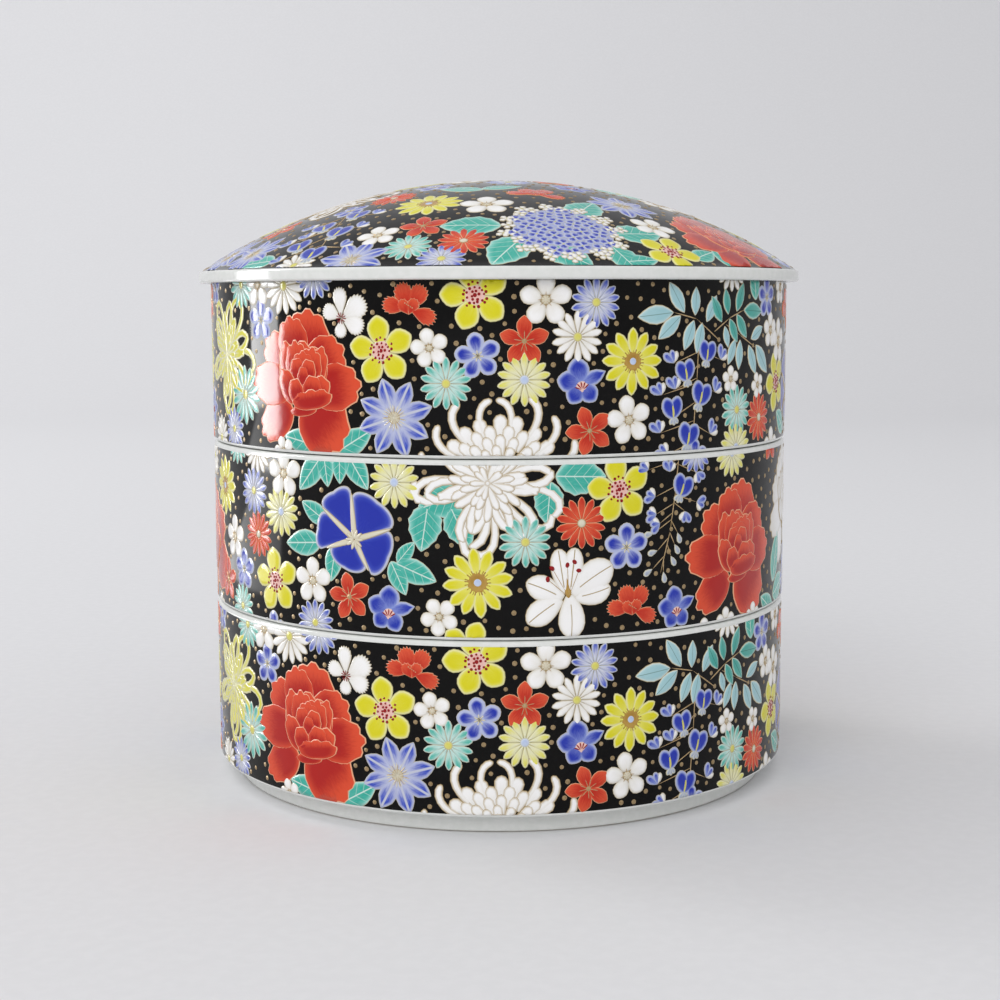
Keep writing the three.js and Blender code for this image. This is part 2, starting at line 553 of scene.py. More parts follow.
def cosmos():
    """Broad yellow petals in one row about a stippled ochre heart."""
    ray = petal("yellow_enamel", 6.8, 3.15, belly=0.62, base=0.85, tip=0.66, neck=0.35, line=0.17,
                margin=0.32, crown=0.11, wash=(0.0, 1.3))
    ring = disc("ochre_enamel", 2.5, 16, line=0.15, margin=0.3, crown=0.04)
    tuft = petal("ochre_enamel", 1.4, 0.5, plain=True, line=0.1, crown=0.03, steps=3)
    core = disc("ice_blue_enamel", 1.0, 12, line=0.12, margin=0.1, crown=0.06)
    parts = spread_petals(ray, 12, out=1.4, wobble=3)
    parts += [put(ring, lift=0.07)] + spread_petals(tuft, 22, out=1.8, lift=0.08, wobble=6)
    return flower("cosmos", parts + [put(core, lift=0.1)])


def rosette():
    """Five full yellow petals with dark red dots over a pink heart."""
    rng = random.Random(RNG_SEED)
    full = petal("yellow_enamel", 7.2, 6.0, belly=0.58, base=0.75, tip=0.7, neck=0.3, line=0.2, margin=0.36,
                 crown=0.14, wash=(0.5, 1.3), steps=9)
    heart = disc("pink_enamel", 2.5, 14, line=0.1, margin=0.5, crown=0.03)
    dot = disc("dark_red_enamel", 0.47, 7, plain=True, line=0.12, crown=0.04)
    parts = spread_petals(full, 5, out=1.35) + [put(heart, lift=0.09), put(dot, lift=0.14, size=1.4)]
    for ring, (radius, count) in enumerate(((0.95, 6), (1.95, 11), (2.95, 13))):
        for i in range(count):
            angle = 2 * math.pi * (i + 0.5 * ring + rng.uniform(-0.25, 0.25)) / count
            reach = radius + rng.uniform(-0.28, 0.28)
            parts.append(put(dot, reach * math.cos(angle), reach * math.sin(angle), lift=0.14,
                             size=rng.uniform(0.75, 1.05)))
    return flower("rosette", parts)


def clematis():
    """Eight pointed blue petals with a pale rib and a tuft of cream stamens."""
    rng = random.Random(RNG_SEED)
    ray = petal("cobalt_ribbed_enamel", 9.0, 4.9, belly=0.55, base=0.9, tip=0.86, neck=0.3, line=0.2,
                margin=0.3, crown=0.12, wash=(-0.2, 1.35), steps=8)
    tuft = disc("cream_enamel", 1.7, 12, line=0.3, margin=0.4, crown=0.02)
    stamen = petal("cream_enamel", 3.2, 0.5, plain=True, line=0.1, crown=0.04, steps=3)
    thread = petal("gold_line", 2.6, 0.24, plain=True, line=0.08, crown=0.03, steps=3)
    parts = spread_petals(ray, 8, out=0.9) + [put(tuft, lift=0.09)]
    parts += spread_petals(stamen, 19, out=0.1, lift=0.1, wobble=6, rng=rng)
    parts += spread_petals(thread, 11, out=0.4, turn=9, lift=0.13, wobble=6, rng=rng)
    return flower("clematis", parts)


def bellflower():
    """A blue star seen a little from below: broad lobes, a slim side one and a striped pale throat."""
    lobe = petal("cobalt_enamel", 6.4, 5.7, belly=0.54, base=0.55, tip=0.64, neck=0.3, line=0.18, margin=0.45,
                 crown=0.12, wash=(0.2, 1.3), steps=8)
    side = petal("cobalt_enamel", 6.8, 3.7, belly=0.5, base=0.6, tip=0.95, neck=0.35, line=0.18, margin=0.4,
                 crown=0.12, wash=(0.1, 1.2), steps=8)
    throat = disc("pink_enamel", 1.6, 12, line=0.12, margin=0.5, crown=0.03)
    stroke = petal("dark_red_enamel", 1.9, 0.56, plain=True, line=0.12, crown=0.04, steps=3)
    parts = [put(lobe, turn=turn, size=size)
             for turn, size in ((6, 1.0), (72, 0.96), (140, 0.86), (-148, 0.86))]
    parts += [put(side, turn=-72), put(throat, y=-0.7, lift=0.1, stretch=0.85)]
    parts += [put(stroke, y=-1.5, turn=turn, out=0.25, lift=0.13) for turn in (-56, -26, 4, 34, 62)]
    return flower("bellflower", parts)


def small_blue():
    """Five round blue petals with wide milky edges."""
    round_petal = petal("cobalt_milky_enamel", 4.7, 3.9, belly=0.6, base=0.8, tip=0.55, neck=0.35, line=0.15,
                        margin=0.55, crown=0.15, wash=(0.2, 1.3), steps=8)
    heart = petal("cream_enamel", 1.4, 0.5, plain=True, line=0.1, crown=0.05, steps=3)
    return flower("small_blue", spread_petals(round_petal, 5, out=0.35) + spread_petals(heart, 7, lift=0.1))


def plum(size, width, tip):
    """A white blossom of five full petals with a cream heart."""
    full = petal("white_soft_enamel", 0.84 * size, width, belly=0.6, base=0.75, tip=tip, neck=0.35, line=0.16,
                 margin=0.3, crown=0.17, wash=(0.1, 1.3), steps=8)
    stamen = petal("gold_line", 0.3 * size, 0.24, plain=True, line=0.08, crown=0.03, steps=3)
    heart = disc("cream_enamel", 0.2 * size, plain=True, line=0.3, crown=0.05)
    parts = spread_petals(full, 5, out=0.16 * size) + [put(heart, lift=0.1)]
    return flower("plum", parts + spread_petals(stamen, 8, out=0.1, lift=0.15))


def red_five():
    """Five pointed red petals in a star with gold stamens."""
    ray = petal("iron_red_petal", 5.8, 3.9, belly=0.58, base=0.9, tip=0.78, neck=0.25, line=0.2, margin=0.1,
                crown=0.1, wash=(1.3, 0.1), steps=8)
    stamen = petal("gold_line", 2.6, 0.34, plain=True, line=0.1, crown=0.03, steps=3)
    heart = disc("gold_line", 0.7, plain=True, line=0.2, crown=0.05)
    parts = spread_petals(ray, 5, out=0.3) + spread_petals(stamen, 9, lift=0.1, wobble=6)
    return flower("red_five", parts + [put(heart, lift=0.12)])


def dianthus():
    """A pink seen from the side: two tall toothed petals, two low ones and a rolled middle."""
    finish = dict(lobes=1, lobe=0.1, sag=0.3, shoulder=3.0, line=0.2, margin=0.1, crown=0.07, wash=(1.3, 0.1))
    tall = fan("iron_red_petal", 7.4, 62, tooth=0.04, steps=18, **finish)
    low = fan("iron_red_petal", 7.2, 56, tooth=0.05, steps=16, **finish)
    roll = fan("iron_red_petal", 4.4, 70, tooth=0.04, steps=12, **finish)
    dots = disc("gold_line", 0.26, 6, plain=True, line=0.1, crown=0.04)
    parts = [put(tall, turn=turn, y=-0.4) for turn in (24, -24)]
    parts += [put(low, turn=turn, lift=0.05, y=0.2) for turn in (84, -106)]
    parts += [put(roll, turn=turn, y=-1.2, lift=0.1) for turn in (38, -20)]
    parts += [put(dots, 0.5 * i - 1.2, 1.6 - 0.25 * i, lift=0.16) for i in range(5)]
    return flower("dianthus", parts)


def open_pink():
    """A white pink seen from the front: five toothed petals of uneven length about red strokes."""
    finish = dict(lobes=1, lobe=0.08, sag=0.3, shoulder=3.0, line=0.18, margin=0.3, crown=0.12,
                  wash=(0.1, 1.3))
    broad = fan("white_soft_enamel", 9.0, 68, tooth=0.035, steps=22, **finish)
    slim = fan("white_soft_enamel", 8.4, 50, tooth=0.03, steps=18, **finish)
    stroke = petal("dark_red_enamel", 1.5, 0.42, plain=True, line=0.12, crown=0.04, steps=3)
    parts = [put(broad, turn=turn, size=size)
             for turn, size in ((-58, 1.0), (-112, 0.84), (176, 0.6), (66, 0.72))]
    parts += [put(slim, turn=4, lift=0.04)] + spread_petals(stroke, 11, out=0.25, lift=0.16, wobble=4)
    return flower("open_pink", parts)


# The peony's petals from the back to the front, about the middle of its bowl: shape, base x and y and tip x
# and y in millimetres, width against its usual one, and lift
PEONY_PETALS = (
    # The open petals around the bowl
    ("full", -2, -2, -15, 8, 0.8, 0.0), ("full", 1.5, 0, 2.6, 16.2, 1, 0.0),
    ("full", 1, -8.6, 13.6, -22, 0.98, 0.014), ("full", -3.8, -10.4, -17.5, -19, 0.72, 0.0),
    ("full", -2, 0, -4.8, 14.2, 0.85, 0.016), ("full", 2, -1, 14.6, 6, 0.95, 0.016),
    ("full", -3, -5, -22, -4.2, 0.68, 0.016), ("full", 3, -6, 20, -4, 0.8, 0.032),
    # The bowl's back and sides, nested inwards
    ("full", 0, -10.2, 0.4, 7.4, 1.08, 0.048), ("side", -2, -8.6, -6.6, 7.4, 1, 0.062),
    ("side", 2, -8.6, 7.8, 6, 0.95, 0.062), ("full", -0.6, -7, -2.6, 7.6, 0.65, 0.078),
    ("full", 1, -7, 4.4, 5.8, 0.7, 0.092), ("full", 0.4, -6, 0.6, 4.8, 0.85, 0.106),
    ("cup", -0.8, -4.6, -2.2, 3, 1, 0.12), ("cup", 1.6, -4.6, 3.2, 2.6, 1, 0.134),
    ("cup", 0.4, -5.4, 0.8, 0.6, 0.9, 0.148),
    # The bowl's front, rising from below
    ("side", -2.6, -10, -7.8, -0.4, 1.2, 0.15), ("cup", 3.8, -9.6, 9, -2.4, 1, 0.15),
    ("cup", 3.2, -10, 4.6, -1.8, 1.1, 0.164), ("cup", -1.4, -10, -3, -2.8, 1, 0.178),
    ("fold", 0.8, -13.4, 0.4, -10, 1.1, 0.164), ("fold", 4, -11.6, 3.2, -5.8, 0.95, 0.192),
)


def peony(colour):
    """A full-blown peony: ruffled open petals round a deep bowl of nested ones."""
    finish = dict(line=0.44, margin=0.1, wash=(2.2, -0.3), crown=0.014)
    shapes = {
        "full": (15.0, scoop(colour, 15.0, 15.0, lobes=9, lobe=0.1, steps=30, **finish)),
        "side": (15.0, scoop(colour, 15.0, 8.0, lobes=7, lobe=0.08, steps=24, **finish)),
        "cup": (9.0, scoop(colour, 9.0, 7.6, lobes=6, lobe=0.1, steps=20, **finish)),
        "fold": (6.0, scoop(colour, 6.0, 16.0, lobes=9, lobe=0.16, steps=30, **finish)),
    }
    parts = []
    for kind, x0, y0, x1, y1, widen, lift in PEONY_PETALS:
        reach, mesh = shapes[kind]
        wide = mesh.copy()
        wide.transform(Matrix.Diagonal((widen, 1, 1, 1)))
        parts.append(between(wide, reach, (x0, y0), (x1, y1), lift))
    return flower("peony", parts)


# The quills on one side of the crown chrysanthemum: turn from upright, how far out they start, and size
CROWN_QUILLS = (
    (12, 9.6, 0.92), (35, 10.0, 1.04), (56, 9.4, 1.0), (78, 10.0, 1.0), (104, 9.6, 1.0), (135, 9.0, 0.9),
)
# Its scales in rows from the outside in: how many, how far out they start, length and width in millimetres
CROWN_SCALES = (
    (19, 9.4, 6.0, 3.7), (18, 7.2, 5.8, 3.4), (16, 5.2, 5.4, 3.1), (14, 3.4, 4.8, 2.8), (11, 1.8, 4.2, 2.5),
    (6, 0.2, 3.4, 2.2),
)


def crown_mum():
    """A chrysanthemum like a dome of closed scales, with quills that curl out from under it."""
    rng = random.Random(RNG_SEED)
    # The white scales' and quills' tan outlines and grey margins are partly painted shade between them
    finish = dict(line=0.24, margin=0.3, crown=0.03, wash=(0.2, 1.2), tip=0.5, steps=6)
    quill = petal("white_enamel", 12.5, 2.2, belly=0.88, neck=0.75, bend=120, hook=2.6, line=0.24, margin=0.3,
                  crown=0.06, wash=(0.2, 1.2), tip=0.5, steps=12)
    parts = [put(quill, turn=-turn, out=out, size=size) for turn, out, size in CROWN_QUILLS]
    parts += [put(quill, turn=turn + 9, out=out, size=size, mirror=True) for turn, out, size in CROWN_QUILLS]
    for row, (count, out, length, width) in enumerate(CROWN_SCALES):
        scale = petal("white_enamel", length, width, belly=0.7, neck=0.6, **finish)
        parts += spread_petals(scale, count, out=out, turn=11 * row, lift=0.02 + 0.033 * row, wobble=2.5,
                               rng=rng)
    return flower("crown_mum", parts)


# The large chrysanthemum's rows from the back to the front: how many quills, their length and width in
# millimetres, degrees of bend, how near the tip it bends, and steps along a side
SPIDER_ROWS = (
    (10, 25.0, 2.6, 200, 5.0, 13), (12, 19.0, 2.7, 110, 4.5, 10), (14, 14.4, 2.8, 50, 2.6, 8),
    (14, 10.6, 2.8, 24, 2.0, 7), (12, 7.4, 2.6, 10, 1.0, 6), (9, 4.6, 2.2, 0, 1.0, 5),
)


def spider_mum(colour):
    """A large chrysanthemum: fat quills that hook at their tips, in rows round a small tuft."""
    rng = random.Random(RNG_SEED)
    # On the white chrysanthemum the quills' tan outlines and grey margins are partly painted shade between
    # them
    finish = dict(line=0.24, margin=0.32, crown=0.03, wash=(0.2, 1.2), neck=0.6, tip=0.5)
    parts = []
    for row, (count, length, width, bend, hook, steps) in enumerate(SPIDER_ROWS):
        quill = petal(colour, length, width, belly=0.9 - 0.04 * row, bend=bend, hook=hook, steps=steps,
                      **finish)
        for mirror in (False, True):
            half = (count + (0 if mirror else 1)) // 2
            turn = 17 * row + (180 / half if mirror else 0)
            parts += spread_petals(quill, half, out=0.4, turn=turn, lift=0.034 * row, wobble=5, rng=rng,
                                   mirror=mirror)
    parts.append(put(disc(colour, 0.9, 10, line=0.24, margin=0.2, crown=0.02), lift=0.17))
    return flower("spider_mum", parts)


# The morning glory's sectors as turn, spread in degrees and length, and its ribs as turn and length
GLORY_SECTORS = ((-34.5, 76, 13.6), (-113, 79, 12.0), (157, 99, 9.4), (79.5, 55, 13.4), (28, 48, 15.2))
GLORY_RIBS = ((4, 13.0), (-73, 11.8), (-153, 9.6), (107, 10.0), (52, 13.8))


def morning_glory():
    """A blue trumpet of five uneven sectors parted by ivory ribs, seen a little from the side."""
    parts = []
    for turn, spread, length in GLORY_SECTORS:
        sector = fan("cobalt_glory_enamel", length, spread, lobes=2, lobe=0.025, sag=0.08, steps=20,
                     shoulder=9, line=0.24, margin=0.6, crown=0.08, wash=(0.6, 1.3))
        parts.append(put(sector, turn=turn))
    reach = 12.0
    rib = petal("cream_enamel", reach, 1.9, belly=0.06, base=0.4, tip=0.42, neck=0.9, line=0.2, margin=0.2,
                crown=0.05, steps=8)
    core = petal("cream_enamel", 3.0, 1.2, belly=0.4, line=0.16, margin=0.15, crown=0.03, steps=5)
    for turn, length in GLORY_RIBS:
        parts.append(put(rib, turn=turn, lift=0.08, stretch=length / reach))
    return flower("morning_glory", parts + spread_petals(core, 10, turn=18, lift=0.14, wobble=4))


# The lily's petals: shape, base x and y, tip x and y in millimetres, and lift
LILY_PETALS = (
    ("slim", 1.4, -0.6, 12.4, 0.6, 0.0), ("slim", -1.4, -0.8, -11.2, 5.2, 0.0),
    ("slim", -1.8, -0.8, -12.2, -6.4, 0.02), ("broad", 0.6, 0.2, 11.6, 9.6, 0.03),
    ("half", -1.0, 0.4, -3.0, 13.0, 0.04), ("half", 0.4, 0.4, 1.8, 13.2, 0.03),
    ("broad", 0.2, 0.2, 2.4, -11.8, 0.05),
)


def lily():
    """Fat white petals with a dark rib, arching stamens and red anthers."""
    finish = dict(line=0.2, margin=0.4, crown=0.14, steps=10, neck=0.25, wash=(0.4, 1.3))
    white = "white_ribbed_enamel"
    shapes = {
        "slim": (11.0, petal(white, 11.0, 7.0, belly=0.6, base=0.8, tip=0.55, bend=14, **finish)),
        "broad": (13.5, petal(white, 13.5, 8.6, belly=0.62, base=0.8, tip=0.5, bend=-16, **finish)),
        "half": (12.8, petal(white, 12.8, 6.0, belly=0.62, base=0.7, tip=0.45, **finish)),
    }
    throat = petal("ochre_enamel", 6.4, 2.0, belly=0.35, base=0.5, tip=1.0, line=0.1, margin=0.3, crown=0.03)
    stamen = petal("gold_line", 8.0, 0.34, plain=True, line=0.1, crown=0.03, steps=4)
    anther = disc("dark_red_enamel", 0.72, 8, plain=True, line=0.15, crown=0.05)
    parts = [between(shapes[kind][1], shapes[kind][0], (x0, y0), (x1, y1), lift)
             for kind, x0, y0, x1, y1, lift in LILY_PETALS]
    parts.append(put(throat, turn=6, y=-0.8, lift=0.14))
    for x, y in ((-4.6, 7.6), (-0.4, 8.4), (1.6, 9.2), (2.8, 6.8), (-5.8, 4.6)):
        parts.append(between(stamen, 8.0, (0, -0.4), (x, y), 0.17, slim=True))
        parts.append(put(anther, x, y, turn=30 * x, lift=0.165, stretch=1.3))
    return flower("lily", parts)


def leaf(colour, length, width, teeth=0.0):
    """One leaf with a pale rib and side veins."""
    blade = petal(colour, length, width, belly=0.42, base=0.62, tip=0.78, steps=14 if teeth else 9,
                  teeth=teeth, line=0.18, margin=0.3, crown=0.03, wash=(0.7, 0.9))
    return flower("leaf", [put(blade, y=-length / 2)])


def stem(length, width):
    """A thin gold-brown stalk."""
    return petal("gold_line", length, width, belly=0.4, base=0.5, tip=0.9, steps=6, plain=True, line=0.15,
                 crown=0.04)


# Three leafy stalks that cross: colour, the stalk's points, and each leaf from base to tip, in millimetres
SPRAYS = (
    ("celadon_leaf_enamel", ((2, -2), (-7.3, 4.1), (-15.5, 5.9)),
     ((-15.5, 5.9, -27.4, 4.7), (-11.7, 5.7, -17.2, 14.2), (-13, 5.1, -20.8, -1.4), (-7.8, 4.9, -7.5, 13),
      (-8.2, 3.8, -11.8, -4.6), (-5, 3.1, -7.2, -5.6), (-3.4, 3.1, 0.8, 10.6))),
    ("celadon_leaf_enamel", ((5, 2.4), (12, -0.7), (20.6, -4.3)),
     ((18, -1.9, 25.7, 1.6), (12, -1.9, 11.3, -10.6), (16.6, -3.5, 21.3, -12.2), (21, -3.6, 29.5, -12),
      (4.4, 2, 6.2, -4.2), (9.6, -1.7, 6, -9))),
    ("turquoise_spray_enamel", ((-0.2, 0.4), (6.6, 4.2), (13.7, 6.4)),
     ((3.1, 3, -1.4, 10.4), (6, 5.1, 4.5, 12.6), (10, 5.9, 13.5, 14.2), (13.7, 6.4, 24.7, 5.9),
      (10, 5.3, 15.5, -1.6), (6.6, 4.1, 10.5, -2.8))),
)


def sprays():
    """Stalks with slim leaves laid one by one along them."""
    reach = 10.0
    twig = stem(reach, 0.42)
    parts = []
    for order, (colour, points, leaves) in enumerate(SPRAYS):
        blade = petal(colour, reach, 4.7, belly=0.48, base=0.8, tip=0.82, line=0.2, margin=0.25, crown=0.1,
                      wash=(1.2, 0.5), steps=8)
        parts += [between(twig, reach, start, end, 0.05, slim=True) for start, end in zip(points, points[1:])]
        parts += [between(blade, reach, row[:2], row[2:], 0.02 + 0.02 * order) for row in leaves]
    return flower("sprays", parts)


def floret_parts():
    """Shapes of a wisteria floret: half of its blue banner, the yellow streak on it and a small keel."""
    banner = petal("cobalt_enamel", 6.6, 4.6, belly=0.56, base=0.6, tip=0.5, line=0.18, margin=0.45,
                   crown=0.06, wash=(0.6, 1.3), steps=8)
    streak = petal("heart_yellow_enamel", 3.8, 1.5, belly=0.4, line=0.3, margin=0.2, crown=0.02, steps=5)
    keel = petal("grey_blue_enamel", 2.6, 1.6, belly=0.62, tip=0.55, line=0.18, margin=0.3, crown=0.08,
                 steps=6)
    return banner, streak, keel


def open_floret(shapes, x, y, turn, size=1.0):
    """One open floret, its keels hanging below its banner."""
    banner, streak, keel = shapes
    made = [put(banner, x, y, turn=turn + side, lift=0.06 + 0.0005 * side, size=size)
            for side in (-21, 21)]
    made.append(put(streak, x, y + 0.3, turn=turn, lift=0.11, size=size))
    return made + [put(keel, x, y + 0.9, turn=turn + side, lift=0.08, size=size) for side in (148, 180, 212)]


def folded_floret(wing, pale, x, y, turn, size=1.0):
    """A half-open floret from the side: two blue wings over a pale one."""
    return [put(pale, x, y, turn=turn - 46, size=size), put(wing, x, y, turn=turn + 24, lift=0.03, size=size),
            put(wing, x, y, turn=turn - 16, lift=0.06, size=0.85 * size)]


def along(stalk, y):
    """The point of a hanging stalk at some height."""
    for (x0, y0), (x1, y1) in zip(stalk, stalk[1:]):
        if y1 <= y <= y0:
            share = (y0 - y) / (y0 - y1)
            return x0 + (x1 - x0) * share, y
    return stalk[0] if y > stalk[0][1] else stalk[-1]


# The raceme's open and half-open florets, and its lower end's half-open florets and buds: x and y in
# millimetres, turn in degrees, and for the open ones size
OPEN_FLORETS = (
    (5.7, 8.0, -8, 1.0), (-1.7, 2.8, 10, 1.0), (3.0, -4.0, -16, 1.1), (-6.4, -7.4, 6, 1.02),
    (-1.4, -15.2, -10, 1.1),
)
SIDE_FLORETS = (
    (-6.3, 8.0, 30), (11.6, 8.6, -24), (-10.4, -0.6, 36), (-5.8, 0.8, 20), (9.2, -0.4, -30),
    (-10.8, -11.0, 30), (7.4, -12.0, -36), (-8.4, -17.0, 60),
)
END_FLORETS = (
    (-8.5, 14.6, 70), (-1.4, 13.6, 10), (-6.2, 7.0, 80), (8.2, 13.0, -140), (8.4, 4.6, -100),
    (4.0, 2.4, -172), (-5.8, 2.2, 96), (-4.6, -0.4, 110),
)
END_BUDS = (
    (-6.6, -3.0, 100), (1.4, -3.4, -160), (-5.4, -8.0, 105), (0.4, -6.6, -150), (-7.0, -13.0, 120),
    (-0.9, -9.8, -150), (-3.4, -14.0, -170),
)


def wisteria():
    """A hanging raceme: open florets in the middle, half-open ones at its sides, on thin stalks."""
    pieces = floret_parts()
    wing = petal("cobalt_enamel", 4.6, 2.7, belly=0.62, tip=0.5, line=0.15, margin=0.55, crown=0.12, steps=6)
    pale = petal("white_soft_enamel", 3.6, 2.2, belly=0.6, line=0.15, margin=0.4, crown=0.12, steps=5)
    twig = stem(7.5, width=0.36)
    stalk = ((2.8, 15.5), (2.0, 2.0), (0.4, -18.0))
    parts = [between(twig, 7.5, start, end, slim=True) for start, end in zip(stalk, stalk[1:])]
    for x, y, turn, size in OPEN_FLORETS:
        parts.append(between(twig, 7.5, along(stalk, y + 4.5), (x, y + 0.6), slim=True))
        parts += open_floret(pieces, x, y, turn, size)
    for x, y, turn in SIDE_FLORETS:
        parts.append(between(twig, 7.5, along(stalk, y + 3.0), (x, y), slim=True))
        parts += folded_floret(wing, pale, x, y, turn)
    return flower("wisteria", parts)


def wisteria_end():
    """The lower end of a raceme: one open floret, then small buds in pairs down a thin stalk."""
    pieces = floret_parts()
    wing = petal("cobalt_enamel", 4.4, 2.8, belly=0.62, tip=0.5, line=0.15, margin=0.6, crown=0.12, steps=6)
    pale = petal("white_soft_enamel", 3.4, 2.2, belly=0.6, line=0.15, margin=0.4, crown=0.12, steps=5)
    bud = petal("grey_blue_enamel", 3.4, 2.0, belly=0.68, tip=0.5, line=0.15, margin=0.35, crown=0.12,
                steps=5)
    twig = stem(6.4, width=0.36)
    stalk = ((1.6, 17.0), (0.6, 8.0), (-1.2, -3.0), (-4.4, -14.5))
    parts = [between(twig, 6.4, start, end, slim=True) for start, end in zip(stalk, stalk[1:])]
    parts += open_floret(pieces, 2.2, 6.4, -20, 1.05)
    for x, y, turn in END_FLORETS:
        parts.append(between(twig, 6.4, along(stalk, y + 2.6), (x, y), slim=True))
        parts += folded_floret(wing, pale, x, y, turn, 0.92)
    for x, y, turn in END_BUDS:
        parts.append(between(twig, 6.4, along(stalk, y + 3.4), (x, y), slim=True))
        parts.append(put(bud, x, y, turn=turn, lift=0.04))
    return flower("wisteria_end", parts)


def hydrangea():
    """A dome of small four-petalled florets on a pale ground, blue in the middle and white at the edge."""
    rng = random.Random(RNG_SEED)
    finish = dict(belly=0.6, base=0.8, tip=0.5, line=0.14, margin=0.3, crown=0.08)
    blue = petal("cobalt_milky_enamel", 2.6, 2.6, wash=(1.5, 0.1), steps=4, **finish)
    white = petal("white_soft_enamel", 1.9, 1.8, steps=3, **finish)
    dot = disc("heart_yellow_enamel", 0.28, 6, plain=True, line=0.1, crown=0.04)
    radius, pitch = 12.0, 4.3
    ground = disc("cobalt_milky_enamel", radius, 24, line=0.2, margin=0.3, crown=0.01, wash=(0.0, 0.0))
    parts = [put(ground, lift=0.03)]
    for row in range(-3, 4):
        for column in range(-3, 4):
            x = pitch * (column + 0.5 * (row % 2)) + rng.uniform(-0.25, 0.25)
            y = pitch * 0.87 * row + rng.uniform(-0.25, 0.25)
            if math.hypot(x, y) > radius - 0.4:
                continue
            turn = rng.uniform(0, 90)
            lift = 0.05 + 0.03 * ((row + column) % 3)
            parts += [put(blue, x, y, turn=turn + 90 * i, lift=lift) for i in range(4)]
            parts.append(put(dot, x, y, lift=lift + 0.06))
    for ring, (radius, count) in enumerate(((12.5, 20), (14.2, 12))):
        for i in range(count):
            angle = 2 * math.pi * (i + 0.5 * ring + rng.uniform(-0.2, 0.2)) / count
            reach = radius + rng.uniform(-0.5, 0.5)
            x, y = reach * math.sin(angle), reach * math.cos(angle)
            turn = rng.uniform(0, 90)
            lift = 0.1 + 0.05 * (i % 2)
            parts += [put(white, x, y, turn=turn + 90 * k, out=0.05, lift=lift) for k in range(4)]
            parts.append(put(dot, x, y, lift=lift + 0.05))
    return flower("hydrangea", parts)


# How each kind is made, and how much larger it is painted than its makers draw it
FLOWER_MAKERS = {
    "daisy_teal": (1.14, lambda: daisy("turquoise_enamel", "heart_yellow_enamel")),
    "daisy_blue": (1.12, lambda: daisy("cobalt_daisy_enamel", "heart_yellow_enamel")),
    "daisy_white": (1.14, lambda: daisy("white_soft_enamel", "heart_yellow_enamel")),
    "daisy_red": (1.14, lambda: daisy("iron_red_petal", "cream_enamel")),
    "daisy_yellow": (1.17, lambda: daisy("yellow_daisy_enamel", "ice_blue_enamel")),
    "cosmos": (1.13, cosmos),
    "rosette": (1.14, rosette),
    "clematis": (1.13, clematis),
    "bell": (1.14, bellflower),
    "small_blue": (1.26, small_blue),
    "plum": (1.1, lambda: plum(5.0, 3.9, 0.58)),
    "cherry": (1.18, lambda: plum(5.8, 4.2, 0.6)),
    "red_five": (1.14, red_five),
    "dianthus": (1.08, dianthus),
    "open_pink": (1.0, open_pink),
    "peony_red": (1.0, lambda: peony("iron_red_enamel")),
    "peony_white": (0.95, lambda: peony("white_enamel")),
    "crown_mum": (1.0, crown_mum),
    "mum_white": (1.0, lambda: spider_mum("white_enamel")),
    "mum_yellow": (0.95, lambda: spider_mum("yellow_daisy_enamel")),
    "glory": (1.0, morning_glory),
    "lily": (1.0, lily),
    "leaf_teal": (1.1, lambda: leaf("turquoise_leaf_enamel", 11.0, 6.2)),
    "leaf_toothed": (1.1, lambda: leaf("turquoise_leaf_enamel", 13.0, 9.2, 0.45)),
    "sprays": (1.0, sprays),
    "wisteria": (1.0, wisteria),
    "wisteria_end": (1.0, wisteria_end),
    "hydrangea": (1.0, hydrangea),
}
FLOWERS = {}


def flat_flower(kind):
    """The flat shape of one kind of flower, made when it is first asked for."""
    if kind not in FLOWERS:
        growth, maker = FLOWER_MAKERS[kind]
        FLOWERS[kind] = maker()
        FLOWERS[kind].transform(Matrix.Diagonal((growth, growth, 1, 1)))
    return FLOWERS[kind]


